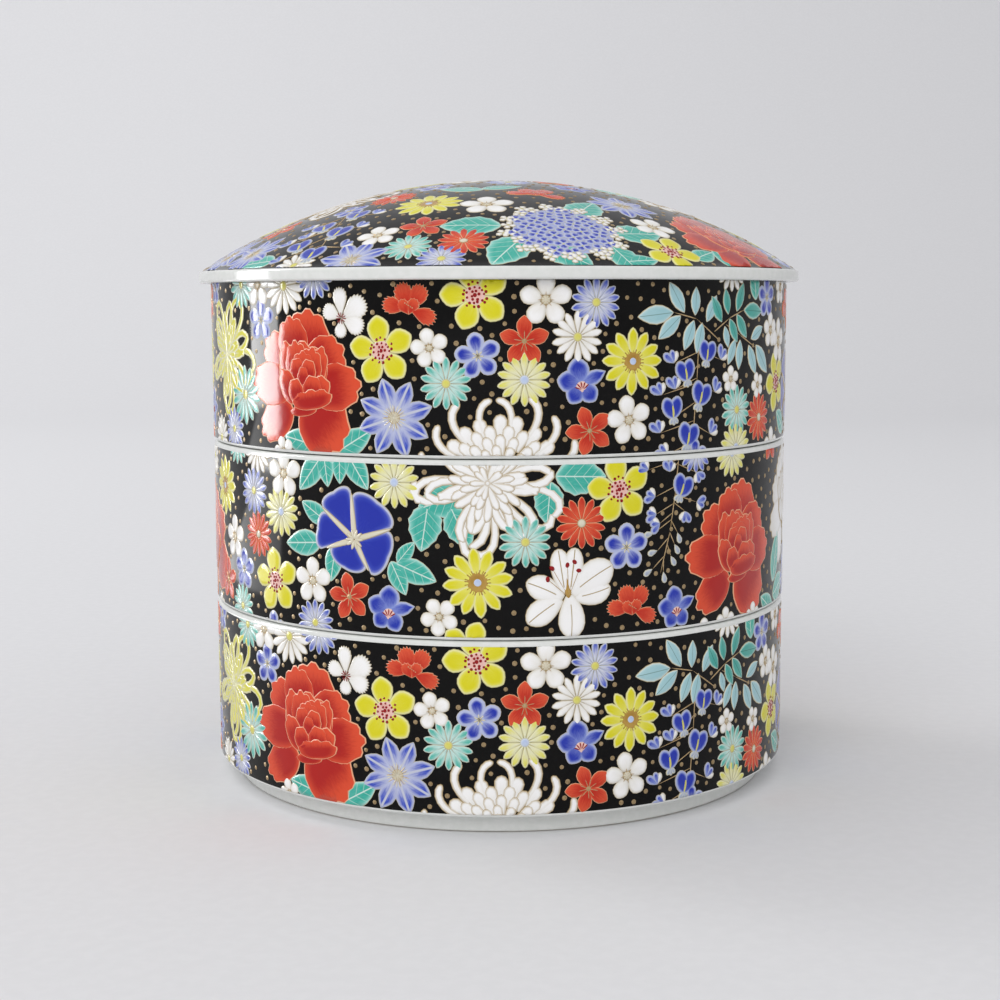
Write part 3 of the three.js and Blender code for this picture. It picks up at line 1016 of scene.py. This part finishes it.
# Where the flowers stand. Each row: kind, millimetres around from the front, millimetres up, and where they
# aren't 1, 0 and 0, size against the flower's own, turn in degrees, and lift over its neighbours in mm.
DOUBLE_PEONY_WALL = (
    ("mum_yellow", -98, 27, 0.92, 20, 0.02), ("daisy_teal", -85.5, 15.5, 1.2, 30), ("cherry", -77.5, 47),
    ("daisy_teal", -87, 47), ("daisy_white", -65.5, 46.5, 1.15, 8), ("small_blue", -76, 37),
    ("daisy_blue", -54, 49.5), ("open_pink", -44.6, 37.6), ("dianthus", -24.2, 39.8, 1, -6),
    ("rosette", -6.3, 43.7, 1, 15), ("rosette", -32.4, 28.9, 1, 8), ("cherry", 12.6, 42.4, 1.08),
    ("daisy_blue", 26.5, 41.7), ("leaf_teal", -59.6, 3.6, 1.1, 80), ("leaf_teal", -41, 4.2, 1.1, -60),
    ("daisy_blue", -93.5, 5.2, 0.95), ("plum", -66.5, 0.5, 0.8, 20),
    ("peony_red", -58.7, 23.8, 1, 0, 0.035), ("plum", -18.7, 29.7, 1, 12),
    ("small_blue", -5.6, 27.6, 1.02, 10), ("red_five", 6.8, 31.5), ("daisy_white", 21.3, 32.5),
    ("daisy_teal", -14.2, 20.2), ("daisy_yellow", 6.8, 21.2), ("cosmos", 37.3, 25.8),
    ("bell", 22.4, 20, 1, 8), ("clematis", -28.8, 10.9, 1, 18), ("red_five", 24.7, 7.3, 1, 20),
    ("crown_mum", 0.3, -5.2, 1.13, 0, 0.02), ("cherry", 36.3, 9.9, 1.02, 10), ("plum", 23, -4.4),
    ("sprays", 66, 33), ("wisteria", 57, 17, 1, 0, 0.02), ("plum", 73.5, 20, 0.72),
    ("plum", 88.6, 17.8, 0.72, 20), ("daisy_teal", 76.7, 11.2), ("daisy_red", 89.7, 8.4, 1, 0, 0.02),
    ("daisy_yellow", 76.5, 0.5), ("small_blue", 94.5, 43), ("daisy_white", 73.5, 51.5),
    ("leaf_teal", 86, 47.5, 0.9, 10), ("plum", 98, 33.5), ("cherry", 106.5, 30, 1.05),
    ("rosette", 104, 18, 0.95, 20), ("small_blue", 58.5, -1, 0.8), ("glory", 125, 14, 1, 10, 0.02),
    ("leaf_teal", 111, 6, 1.05, 60), ("leaf_teal", 138, 27, 1.05, -40), ("dianthus", 120, 38, 1.05, -8),
    ("daisy_yellow", 134, 39), ("plum", 108, 46), ("daisy_white", -137, 44, 1.05),
    ("red_five", -123, 43, 1, 12), ("cosmos", -127, 25), ("small_blue", -111, 46.5, 0.9),
    ("daisy_teal", -134, 10), ("bell", -119, 10, 0.95, -12), ("plum", -141, 28, 0.95),
    ("daisy_red", -127, -2), ("daisy_white", -106, 2, 0.95), ("plum", 141, 8, 0.9),
    ("cherry", 100, -1, 0.9), ("daisy_blue", 146, 46, 0.8),
)

MORNING_GLORY_WALL = (
    ("cosmos", -103, 37.2), ("daisy_blue", -81.6, 37.5), ("cherry", -66.8, 43.5, 1.05),
    ("daisy_white", -79.3, 49.5), ("daisy_yellow", -68.2, 32.6), ("daisy_red", -79.4, 25, 0.95),
    ("cherry", -95, 22.5), ("small_blue", -88.5, 13.8), ("red_five", -101.6, 9),
    ("daisy_teal", -90, 2.6, 0.95), ("rosette", -71.2, 12.5, 1, 8), ("leaf_teal", -50.6, 46, 0.9, 188),
    ("leaf_teal", -45.8, 46.5, 0.8, 180), ("leaf_teal", -56, 44.4, 1.1, 140),
    ("leaf_teal", -40.3, 45.8, 1.05, 213), ("daisy_yellow", -29, 42.9),
    ("leaf_toothed", -16, 38, 0.95, 110), ("leaf_toothed", -20.4, 30.8, 0.95, 171),
    ("leaf_toothed", -10.6, 31, 0.85, 205), ("leaf_toothed", 22.4, 44.5, 1.02, -92),
    ("leaf_toothed", 13.4, 37.5, 0.82, 175), ("mum_white", -3.1, 43, 1, 8, 0.03),
    ("rosette", 33.4, 40.6, 1, 10), ("leaf_teal", -54.8, 33.5, 0.9, 60),
    ("leaf_teal", -59.2, 24.5, 1.15, 95), ("leaf_teal", -48.4, 19.6, 0.9, 170),
    ("leaf_teal", -25.8, 23.8, 0.65, -40), ("leaf_teal", -28, 16.6, 0.85, -155),
    ("leaf_teal", -23, 18.4, 1.05, -112), ("glory", -41.2, 26.6, 1, 0, 0.04), ("cherry", -55.8, 14),
    ("red_five", -43.1, 10.6, 1, 10), ("daisy_blue", -55.1, 2.2, 0.95), ("bell", -30.8, 7.4, 1, -6),
    ("plum", -16.5, 6.4, 1, 30), ("cosmos", -5.9, 16.0, 1.06, 8, 0.06), ("rosette", -8.4, -2.6, 0.85, 50),
    ("daisy_teal", 7.0, 27.0, 1, 0, 0.07), ("daisy_red", 22.5, 31.8), ("small_blue", 35.7, 24.6, 1.08),
    ("lily", 18.9, 12.1, 1, 0, 0.02), ("dianthus", 37.7, 6.8, 1, -4), ("wisteria_end", 51, 31, 1, 0, 0.02),
    ("bell", 52.3, 6, 0.95, 6), ("peony_red", 77.6, 24.3, 1, 0, 0.035), ("daisy_yellow", 74.6, 48.5, 0.98),
    ("daisy_blue", 59, 50, 0.9), ("peony_white", 118, 34, 0.95, 20), ("leaf_teal", 107, 15, 1.4, -20),
    ("leaf_teal", 112, 5, 1.3, -75), ("plum", 87.5, -0.5, 0.8, 0, 0.06), ("leaf_teal", 99, 1, 1.1, 60),
    ("clematis", 127, 6), ("cosmos", -138, 43, 0.95, 20), ("red_five", 100, 50, 0.9),
    ("rosette", 140, 16, 0.95), ("plum", 72.5, 0, 0.8), ("daisy_white", -132, 2, 0.95),
    ("small_blue", 138, 30, 0.9), ("peony_red", -124, 22, 0.95, 30, 0.035),
    ("leaf_teal", -112, 22, 1.1, -50), ("daisy_white", -119, 45, 0.9), ("daisy_teal", -92, 51, 0.95),
    ("plum", -112, -1, 0.9), ("small_blue", -72.5, -2, 0.9), ("daisy_yellow", 141, -1, 0.9),
    ("plum", 63, -2, 0.8),
)

# On the dome: millimetres right of the apex and back from it, over the curve. This half is also at the back.
DOME_FLOWERS = (
    ("clematis", -83.5, -36), ("clematis", -42, -85.5, 1, 10), ("leaf_teal", -72, -63, 1.25, 50),
    ("clematis", -74, -52, 0.95, 20), ("wisteria", -50.5, -61, 1.08, -12, 0.02),
    ("cherry", -34.5, -73.7, 0.95), ("cherry", -3.4, -58.6, 1.2), ("cherry", 45, -61, 1.05),
    ("cosmos", -20.2, -53.8, 1.1), ("red_five", -21.4, -72.5, 1.05), ("daisy_teal", -25.5, -84.5),
    ("daisy_blue", -16, -93.5, 1.05), ("daisy_red", -9.8, -84.6, 1.05, 0, 0.01),
    ("leaf_toothed", -8, -75, 1.25, 84), ("leaf_toothed", 20, -91.5, 1.1, -120),
    ("leaf_toothed", 2.5, -90.5, 1.25, 150), ("leaf_toothed", 40, -70, 1.15, -60),
    ("leaf_toothed", 25, -57, 1.15, -20), ("leaf_toothed", 36, -88, 1, 215),
    ("hydrangea", 18.5, -76, 1.22), ("dianthus", 11, -46.5, 1.1), ("clematis", 36.5, -46, 1, 12),
    ("rosette", 49.7, -76.4), ("leaf_teal", 60, -70.5, 1, -30), ("leaf_teal", 66.5, -66.5, 1, 40),
    ("leaf_teal", 40.5, -87, 1, -60), ("peony_red", 66, -46, 0.95, 50, 0.035), ("daisy_white", -59.5, -77),
    ("small_blue", -87, -19), ("red_five", -66.5, -34), ("small_blue", -44, -43, 0.9),
    ("small_blue", 55, -88, 0.9), ("daisy_blue", 86.5, -31, 0.9), ("plum", 72, -76, 0.6),
    ("mum_white", -48, -20, 0.95, 0, 0.02), ("daisy_red", -31, -39), ("leaf_teal", -11, -38, 1.2, 64),
    ("leaf_teal", 1, -37, 1.1, -66), ("small_blue", -19, -29), ("cherry", 49, -25), ("bell", 22, -30),
    ("daisy_teal", 37, -19, 1.05), ("lily", 62, -12, 0.95, 20, 0.02), ("daisy_blue", 3, -24),
    ("red_five", 17, -14), ("plum", -10, -17), ("cosmos", -25, -9), ("daisy_white", -2, -5, 0.95),
    ("rosette", 79, -12, 0.95), ("daisy_red", -74, -4), ("cosmos", -89, -3, 0.9), ("small_blue", 35, -3),
    ("daisy_yellow", -69, -19, 0.9),
)


# Laying the pattern flat, wrapping it on the porcelain and trimming it


def lay_one(kind, x, y, size=1.0, turn=0.0, lift=0.0):
    """One flower of a layout at its place."""
    return put(flat_flower(kind), x, y, turn=turn, lift=lift, size=size)


def lay(rows):
    """The flowers of a layout, flat, joined to one object."""
    return joined("flowers", [lay_one(*row) for row in rows])


def repeated(obj, matrix):
    """A second copy of a flat object, moved by a matrix."""
    copy = bpy.data.objects.new(obj.name, obj.data.copy())
    bpy.context.scene.collection.objects.link(copy)
    copy.data.transform(matrix)
    return copy


def wrap_on_wall(obj, ledge):
    """Rolls flat shapes, in millimetres, round the tier's wall, in metres."""
    for vertex in obj.data.vertices:
        x, y, z = vertex.co
        angle, radius = x / WALL_RADIUS, (WALL_RADIUS + z) * MM
        vertex.co = (radius * math.sin(angle), -radius * math.cos(angle), (ledge + y) * MM)


def dome_radius():
    """The radius of the sphere that the dome is part of."""
    rise = DOME_RISE - DOME_DROP
    return (DOME_EDGE ** 2 + rise ** 2) / (2 * rise)


def wrap_on_dome(obj):
    """Bends flat shapes, in millimetres, over the lid's dome, in metres."""
    sphere = dome_radius()
    centre = LID_SEAT + LID_BAND + DOME_RISE - DOME_DROP - sphere
    for vertex in obj.data.vertices:
        x, y, z = vertex.co
        reach = math.hypot(x, y)
        angle = reach / sphere
        out = (sphere + z) * math.sin(angle) * MM
        along = (x / reach, y / reach) if reach > 1e-6 else (0.0, 0.0)
        vertex.co = (out * along[0], out * along[1], (centre + (sphere + z) * math.cos(angle)) * MM)


def trim(obj, height, keep_below):
    """Cuts the wrapped enamel level, and turns the cut edge in so that no patch is left open."""
    edit(obj)
    bpy.ops.mesh.bisect(plane_co=(0, 0, height * MM), plane_no=(0, 0, 1), clear_outer=keep_below,
                        clear_inner=not keep_below)
    bpy.ops.mesh.extrude_edges_move()
    inward = 1 - CUT_TURN / WALL_RADIUS
    bpy.ops.transform.resize(value=(inward, inward, 1), center_override=(0, 0, 0))
    bpy.ops.object.mode_set(mode="OBJECT")


def free_of_flowers(tree, x, y, shifts):
    """Whether a round spot of the flat ground is bare, in the middle and all round."""
    above = 2.0
    for shift in shifts:
        for probe in range(DOT_PROBES + 1):
            angle = 2 * math.pi * probe / DOT_PROBES
            reach = DOT_CLEARANCE if probe < DOT_PROBES else 0.0
            start = Vector((x + shift + reach * math.cos(angle), y + reach * math.sin(angle), above))
            if tree.ray_cast(start, Vector((0, 0, -1)))[0] is not None:
                return False
    return True


def dot_places(flat, low, high, shifts, inside, throws):
    """Where gold dots stand in the gaps, thrown one by one and kept apart."""
    gap = bpy.context.scene.tiered_box.dot_gap / MM
    rng = random.Random(RNG_SEED)
    mesh = flat.data
    tree = BVHTree.FromPolygons([v.co for v in mesh.vertices], [tuple(p.vertices) for p in mesh.polygons])
    places, cells = [], {}
    for _ in range(throws):
        x, y = rng.uniform(low[0], high[0]), rng.uniform(low[1], high[1])
        if not inside(x, y):
            continue
        cell = (int(x // gap), int(y // gap))
        near = [p for i in (-1, 0, 1) for j in (-1, 0, 1) for p in cells.get((cell[0] + i, cell[1] + j), ())]
        if any(math.hypot(x - p[0], y - p[1]) < gap for p in near):
            continue
        if not free_of_flowers(tree, x, y, shifts):
            continue
        places.append((x, y))
        cells.setdefault(cell, []).append((x, y))
    return places


def dots(places):
    """Gold dots at their places, flat, joined to one object."""
    rng = random.Random(RNG_SEED + 1)
    if "dot" not in FLOWERS:
        radius = bpy.context.scene.tiered_box.dot_radius / MM
        FLOWERS["dot"] = disc("matt_gold", radius, 10, plain=True, line=0.2, crown=0.05)
    return joined("dots", [put(FLOWERS["dot"], x, y, size=rng.uniform(0.88, 1.08)) for x, y in places])


# The turned pieces


def arc(x, y, radius, start, end, steps):
    """A round stretch of an outline about (x, y), from one angle to another in degrees."""
    angles = [math.radians(start + (end - start) * step / steps) for step in range(steps + 1)]
    return [(x + radius * math.cos(a), y + radius * math.sin(a)) for a in angles]


def tier_outline(sizes):
    """Half of a tier's cross-section as (radius, height) in mm, from under the floor out, up and back in."""
    mouth = WALL_RADIUS - sizes.wall_thickness / MM
    foot = mouth - NEST_CLEARANCE
    inside = foot - sizes.foot_width / MM
    rim = FOOT_HEIGHT + WALL_HEIGHT
    return (
        [(0, FLOOR_UNDERSIDE), (inside * 0.5, FLOOR_UNDERSIDE), (inside - 1.5, FLOOR_UNDERSIDE)]
        + arc(inside - FOOT_FILLET, FLOOR_UNDERSIDE - FOOT_FILLET, FOOT_FILLET, 90, 0, 3)
        + arc(inside + FOOT_ROUNDING, FOOT_ROUNDING, FOOT_ROUNDING, 180, 270, 4)
        + arc(foot - FOOT_ROUNDING, FOOT_ROUNDING, FOOT_ROUNDING, -90, 0, 4)
        # a small fillet up to the ledge
        + [(foot, FOOT_HEIGHT - 0.8), (foot + 0.3, FOOT_HEIGHT - 0.2), (foot + 0.9, FOOT_HEIGHT)]
        + arc(WALL_RADIUS - LEDGE_ROUNDING, FOOT_HEIGHT + LEDGE_ROUNDING, LEDGE_ROUNDING, -90, 0, 5)
        + [(WALL_RADIUS, FOOT_HEIGHT + BAND_HIGH)]
        + arc(WALL_RADIUS - RIM_ROUNDING, rim - RIM_ROUNDING, RIM_ROUNDING, 0, 90, 5)
        + arc(mouth + RIM_ROUNDING, rim - RIM_ROUNDING, RIM_ROUNDING, 90, 180, 5)
        + arc(mouth - CORNER_RADIUS, FLOOR_TOP + CORNER_RADIUS, CORNER_RADIUS, 0, -90, 8)
        + [(mouth * 0.5, FLOOR_TOP), (0, FLOOR_TOP)]
    )


def lid_outline(sizes):
    """Half of the lid's cross-section as (radius, height) in mm above its seat, from the hollow out."""
    sphere = dome_radius()
    centre = LID_BAND + DOME_RISE - DOME_DROP - sphere
    hollow = sphere - sizes.dome_thickness / MM
    inner = math.degrees(math.acos(LID_RING_INSIDE / hollow))
    outer = math.degrees(math.acos(DOME_EDGE / sphere))
    return (
        arc(0, centre, hollow, 90, inner, 16)
        + arc(LID_RING_INSIDE + LID_ROUNDING, LID_ROUNDING - LID_RING_DEPTH, LID_ROUNDING, 180, 270, 3)
        + arc(LID_RING_OUTSIDE - LID_ROUNDING, LID_ROUNDING - LID_RING_DEPTH, LID_ROUNDING, 270, 360, 3)
        + [(LID_RING_OUTSIDE, 0.0), (LID_INSIDE_LAP, 0.0)]
        + arc(LID_INSIDE_LAP + LAP_ROUNDING, LAP_ROUNDING - LID_LAP, LAP_ROUNDING, 180, 270, 3)
        + arc(LID_RADIUS - LID_ROUNDING, LID_ROUNDING - LID_LAP, LID_ROUNDING, -90, 0, 5)
        + arc(LID_RADIUS - LID_ROUNDING, LID_BAND - LID_ROUNDING, LID_ROUNDING, 0, 60, 4)
        + arc(0, centre, sphere, outer, 90, 32)
    )


def turned(name, outline, base):
    """Spins a closed outline about the axis, like a pot on the wheel."""
    deselect()
    bpy.ops.mesh.primitive_circle_add(vertices=len(outline), radius=1.0)
    made = bpy.context.object
    made.name = name
    made.data.name = name
    for vertex, (radius, height) in zip(made.data.vertices, outline):
        vertex.co = (radius * MM, 0.0, (base + height) * MM)
    edit(made)
    bpy.ops.mesh.spin(steps=TURNED_STEPS, angle=2 * math.pi, center=(0, 0, 0), axis=(0, 0, 1))
    bpy.ops.mesh.select_all(action="SELECT")
    bpy.ops.mesh.remove_doubles(threshold=0.002 * MM)
    bpy.ops.mesh.normals_make_consistent(inside=False)
    bpy.ops.object.mode_set(mode="OBJECT")
    shade(made, 32)
    return made


def coat(obj, names, choose):
    """Gives each face the finish that a function picks from its middle and normal, by number."""
    for name in names:
        obj.data.materials.append(paint(name))
    for face in obj.data.polygons:
        face.material_index = choose(face.center, face.normal)


def tier_finish(level):
    """Black enamel in the band, clear glaze elsewhere, bare clay under the foot."""
    foot = level * TIER_PITCH
    ledge = foot + FOOT_HEIGHT
    slack = 0.01

    def choose(centre, normal):
        out, height = math.hypot(centre.x, centre.y) / MM, centre.z / MM
        in_band = ledge + BAND_LOW - slack < height < ledge + BAND_HIGH + slack
        if in_band and out > WALL_RADIUS - 0.4 and abs(normal.z) < 0.2:
            return 1
        if normal.z < -0.7 and height < foot + 0.35:
            return 2
        return 0
    return choose


def lid_finish(centre, normal):
    """Black enamel on the dome, clear glaze elsewhere."""
    above = centre.z > (LID_SEAT + LID_BAND) * MM
    return 1 if above and normal.z > 0.3 else 0


# What a user may change


class TieredBoxSizes(bpy.types.PropertyGroup):
    """Sizes that a user would change."""
    wall_thickness: bpy.props.FloatProperty(
        name="Wall", description="Thickness of the tiers' walls", default=0.0045, min=0.003, max=0.006,
        unit="LENGTH")
    foot_width: bpy.props.FloatProperty(
        name="Foot", description="Width of the foot ring's flat underside", default=0.0048, min=0.003,
        max=0.008, unit="LENGTH")
    dome_thickness: bpy.props.FloatProperty(
        name="Dome", description="Thickness of the lid's dome", default=0.004, min=0.003, max=0.006,
        unit="LENGTH")
    dot_radius: bpy.props.FloatProperty(
        name="Dots", description="Radius of the gold dots", default=0.00076, min=0.0003, max=0.0015,
        unit="LENGTH")
    dot_gap: bpy.props.FloatProperty(
        name="Dot Spacing", description="Least distance between the gold dots", default=0.0036, min=0.002,
        max=0.01, unit="LENGTH")
    lens: bpy.props.FloatProperty(
        name="Lens", description="Focal length of the camera", default=60.99, min=20.0, max=200.0,
        unit="CAMERA")
    camera_distance: bpy.props.FloatProperty(
        name="Camera Distance", description="From the box's axis to the camera", default=0.5421,
        unit="LENGTH")
    camera_height: bpy.props.FloatProperty(
        name="Camera Height", description="From the table to the camera", default=0.1465, unit="LENGTH")


def colour_property(name, description, hex_colour):
    """One colour that a user may change, given in sRGB and kept linear."""
    return bpy.props.FloatVectorProperty(name=name, description=description, default=linear(hex_colour),
                                         size=4, min=0.0, max=1.0, subtype="COLOR")


class TieredBoxColours(bpy.types.PropertyGroup):
    """Colours that a user would change."""
    ground: colour_property("Ground", "Black enamel of the walls and the dome", "#060505")
    porcelain: colour_property("Porcelain", "White body under its clear glaze", "#E3E5E1")
    gold: colour_property("Gold", "Matt gold of the dots", "#AB9470")
    peony_red: colour_property("Peony Red", "Iron red where it pools in the peonies", "#B3140A")
    petal_red: colour_property("Petal Red", "Iron red of the small flowers", "#C42A14")
    cobalt: colour_property("Cobalt", "Blue of the bell flowers and the wisteria", "#2236AE")
    yellow: colour_property("Yellow", "Lemon yellow of the large petals", "#E0D81C")
    turquoise: colour_property("Turquoise", "Copper green of the small chrysanthemums", "#3DB5A4")
    white: colour_property("White", "Raised white of the large chrysanthemums", "#FCFBFA")
    paper: colour_property("Paper", "Floor and wall of the studio", "#E4E4E6")


# Operators


class TIEREDBOX_OT_tiers(bpy.types.Operator):
    """Turn the three porcelain tiers"""
    bl_idname = "tieredbox.tiers"
    bl_label = "Tiers"

    def execute(self, context):
        for level, node_name in enumerate(TIERS):
            body = turned(node_name + "_body", tier_outline(context.scene.tiered_box), level * TIER_PITCH)
            coat(body, ("porcelain_glaze", "black_glaze", "unglazed_foot"), tier_finish(level))
            belongs(body, "tier_glaze", node_name)
        return {"FINISHED"}


class TIEREDBOX_OT_lid(bpy.types.Operator):
    """Turn the domed lid"""
    bl_idname = "tieredbox.lid"
    bl_label = "Lid"

    def execute(self, context):
        body = turned("lid_body", lid_outline(context.scene.tiered_box), LID_SEAT)
        coat(body, ("porcelain_glaze", "black_glaze"), lid_finish)
        belongs(body, "lid_glaze", "lid")
        return {"FINISHED"}


def dress_wall(rows, levels):
    """Lays one layout on the walls of some tiers, with gold dots in its gaps."""
    half = lay(rows)
    places = dot_places(half, (-REPEAT_LENGTH / 2, BAND_LOW + DOTS_ABOVE_LEDGE),
                        (REPEAT_LENGTH / 2, BAND_HIGH - DOTS_BELOW_RIM),
                        (0.0, -REPEAT_LENGTH, REPEAT_LENGTH), lambda x, y: True, WALL_THROWS)
    half_dots = dots(places)
    shift = Matrix.Translation((REPEAT_LENGTH, 0, 0))
    for kind, flat in (("flowers", half), ("dots", half_dots)):
        whole = joined(kind, [flat, repeated(flat, shift)])
        for order, level in enumerate(levels):
            copy = repeated(whole, Matrix()) if order < len(levels) - 1 else whole
            copy.name = f"{TIERS[level]}_{kind}"
            ledge = level * TIER_PITCH + FOOT_HEIGHT
            wrap_on_wall(copy, ledge)
            if kind == "flowers":
                trim(copy, ledge + BAND_HIGH, True)
                trim(copy, ledge + BAND_LOW, False)
            belongs(copy, "tier_glaze")


class TIEREDBOX_OT_wall_enamel(bpy.types.Operator):
    """Paint the tiers' walls with raised enamel flowers and gold dots"""
    bl_idname = "tieredbox.wall_enamel"
    bl_label = "Wall Enamel"

    def execute(self, context):
        dress_wall(DOUBLE_PEONY_WALL, (0, 2))
        dress_wall(MORNING_GLORY_WALL, (1,))
        return {"FINISHED"}


class TIEREDBOX_OT_lid_enamel(bpy.types.Operator):
    """Paint the dome with raised enamel flowers and gold dots"""
    bl_idname = "tieredbox.lid_enamel"
    bl_label = "Lid Enamel"

    def execute(self, context):
        front = lay(DOME_FLOWERS)
        whole = joined("flowers", [front, repeated(front, Matrix.Rotation(math.pi, 4, "Z"))])
        edge = dome_radius() * math.asin(DOME_EDGE / dome_radius())
        places = dot_places(whole, (-edge, -edge), (edge, edge), (0.0,),
                            lambda x, y: math.hypot(x, y) < edge - DOTS_INSIDE_DOME, DOME_THROWS)
        lid_dots = dots(places)
        for kind, flat in (("flowers", whole), ("dots", lid_dots)):
            flat.name = "lid_" + kind
            wrap_on_dome(flat)
            if kind == "flowers":
                trim(flat, LID_SEAT + LID_BAND + DOME_PLAIN, False)
            belongs(flat, "lid_glaze")
        return {"FINISHED"}


class TIEREDBOX_OT_stage(bpy.types.Operator):
    """Set the pale floor, the studio light and the camera"""
    bl_idname = "tieredbox.stage"
    bl_label = "Stage"

    def execute(self, context):
        make_sweep()
        make_lights()
        make_camera(context.scene.tiered_box)
        return {"FINISHED"}


def make_sweep():
    """A pale paper sweep: floor, curve and wall in one."""
    deselect()
    bpy.ops.mesh.primitive_plane_add(size=FLOOR_SIZE, location=(0, 0, -FLOOR_DROP))
    floor = bpy.context.object
    floor.name = "studio_floor"
    floor.data.materials.append(paint("studio_paper"))
    edit(floor)
    bpy.ops.mesh.select_all(action="DESELECT")
    bpy.ops.mesh.select_mode(type="EDGE")
    bpy.ops.object.mode_set(mode="OBJECT")
    for edge in floor.data.edges:
        edge.select = all(floor.data.vertices[i].co.y > 0.48 * FLOOR_SIZE for i in edge.vertices)
    bpy.ops.object.mode_set(mode="EDIT")
    bpy.ops.mesh.extrude_edges_move(TRANSFORM_OT_translate={"value": (0, 0, BACKDROP_HEIGHT)})
    bpy.ops.mesh.select_all(action="SELECT")
    bpy.ops.mesh.normals_make_consistent(inside=True)
    bpy.ops.object.mode_set(mode="OBJECT")
    bevel = floor.modifiers.new("curve", "BEVEL")
    bevel.width = SWEEP_WIDTH
    bevel.segments = SWEEP_SEGMENTS
    bevel.limit_method = "ANGLE"
    bpy.ops.object.modifier_apply(modifier="curve")
    bpy.ops.object.transform_apply(location=True, rotation=True, scale=True)
    shade(floor, 40)


def area_light(name, place, aim, size, power, lights_paper=True, in_glaze=True):
    """A soft box that looks at a point, and either lights matt surfaces, shows in the glaze, or does both."""
    data = bpy.data.lights.new(name, "AREA")
    data.shape = "RECTANGLE"
    data.size, data.size_y = size
    data.energy = power
    light = bpy.data.objects.new(name, data)
    bpy.context.scene.collection.objects.link(light)
    light.visible_camera = False
    light.visible_diffuse = lights_paper
    light.visible_glossy = in_glaze
    light.location = place
    light.rotation_euler = (Vector(aim) - Vector(place)).to_track_quat("-Z", "Y").to_euler()


def make_lights():
    """The studio's lights, and an even pale room around them."""
    # A tall soft box at the left, which the glaze mirrors, and its glow on the paper
    area_light("soft_box_left", (-0.86, 0.13, 0.40), (0, 0.13, 0.40), (0.27, 0.77), 10.0, lights_paper=False)
    area_light("paper_glow", (-0.75, 0.10, 0.004), (-0.75, 0.10, 1.0), (0.9, 0.26), 2.0, lights_paper=False)
    # A soft key, and a fill from the front
    area_light("left_key", (-1.3, 0.0, 1.2), (0, 0, 0.08), (1.5, 1.5), 3.0)
    area_light("front_fill", (-0.6, -2.2, 1.7), (0, 0, 0.1), (2.0, 1.4), 26.0, in_glaze=False)
    # Light on the backdrop and from overhead
    area_light("backdrop", (-1.4, 0.9, 1.8), (0, 2.6, 0.7), (1.6, 1.0), 14.0, in_glaze=False)
    area_light("overhead", (0.0, 0.3, 2.0), (0, 0.3, 0.0), (2.4, 2.4), 1.0)
    world = bpy.data.worlds.new("studio_room")
    bpy.context.scene.world = world
    world.use_nodes = True
    world.node_tree.nodes.clear()
    light = node(world.node_tree, "Background", {"Color": (0.985, 0.985, 1.0, 1), "Strength": 0.6})
    node(world.node_tree, "OutputWorld", {"Surface": light.outputs[0]})


def make_camera(sizes):
    """The photograph's view of the box."""
    data = bpy.data.cameras.new("photo_camera")
    data.lens = sizes.lens
    data.sensor_width = 36.0
    camera = bpy.data.objects.new("photo_camera", data)
    bpy.context.scene.collection.objects.link(camera)
    tilt = Matrix.Rotation(math.radians(CAMERA_TILT), 4, "X")
    roll = Matrix.Rotation(math.radians(CAMERA_ROLL), 4, "Z")
    place = Matrix.Translation((CAMERA_SIDE, -sizes.camera_distance, sizes.camera_height))
    camera.matrix_world = place @ tilt @ roll
    bpy.context.scene.camera = camera
    bpy.context.scene.view_settings.view_transform = "Standard"
    bpy.context.scene.view_settings.look = "None"


class TIEREDBOX_PT_panel(bpy.types.Panel):
    """The box's pieces, one button each"""
    bl_idname = "TIEREDBOX_PT_panel"
    bl_label = "Tiered Box"
    bl_space_type = "VIEW_3D"
    bl_region_type = "UI"
    bl_category = "Tiered Box"

    def draw(self, context):
        sizes = context.scene.tiered_box
        for group in (sizes, context.scene.tiered_box_colours):
            for name in group.__annotations__:
                self.layout.prop(group, name)
        for operator in OPERATORS:
            self.layout.operator(operator.bl_idname)


OPERATORS = (
    TIEREDBOX_OT_stage,
    TIEREDBOX_OT_tiers,
    TIEREDBOX_OT_lid,
    TIEREDBOX_OT_wall_enamel,
    TIEREDBOX_OT_lid_enamel,
)
CLASSES = (TieredBoxSizes, TieredBoxColours, *OPERATORS, TIEREDBOX_PT_panel)


def register():
    """Adds the classes, and the sizes and colours to the scene."""
    for each in CLASSES:
        bpy.utils.register_class(each)
    bpy.types.Scene.tiered_box = bpy.props.PointerProperty(type=TieredBoxSizes)
    bpy.types.Scene.tiered_box_colours = bpy.props.PointerProperty(type=TieredBoxColours)


def unregister():
    """Takes them away again."""
    del bpy.types.Scene.tiered_box_colours
    del bpy.types.Scene.tiered_box
    for each in reversed(CLASSES):
        bpy.utils.unregister_class(each)


def main():
    """Builds the stage, the pieces and their enamel, and notes the sizes."""
    register()
    bpy.ops.tieredbox.stage()
    bpy.ops.tieredbox.tiers()
    bpy.ops.tieredbox.lid()
    bpy.ops.tieredbox.wall_enamel()
    bpy.ops.tieredbox.lid_enamel()


if __name__ == "__main__":
    main()
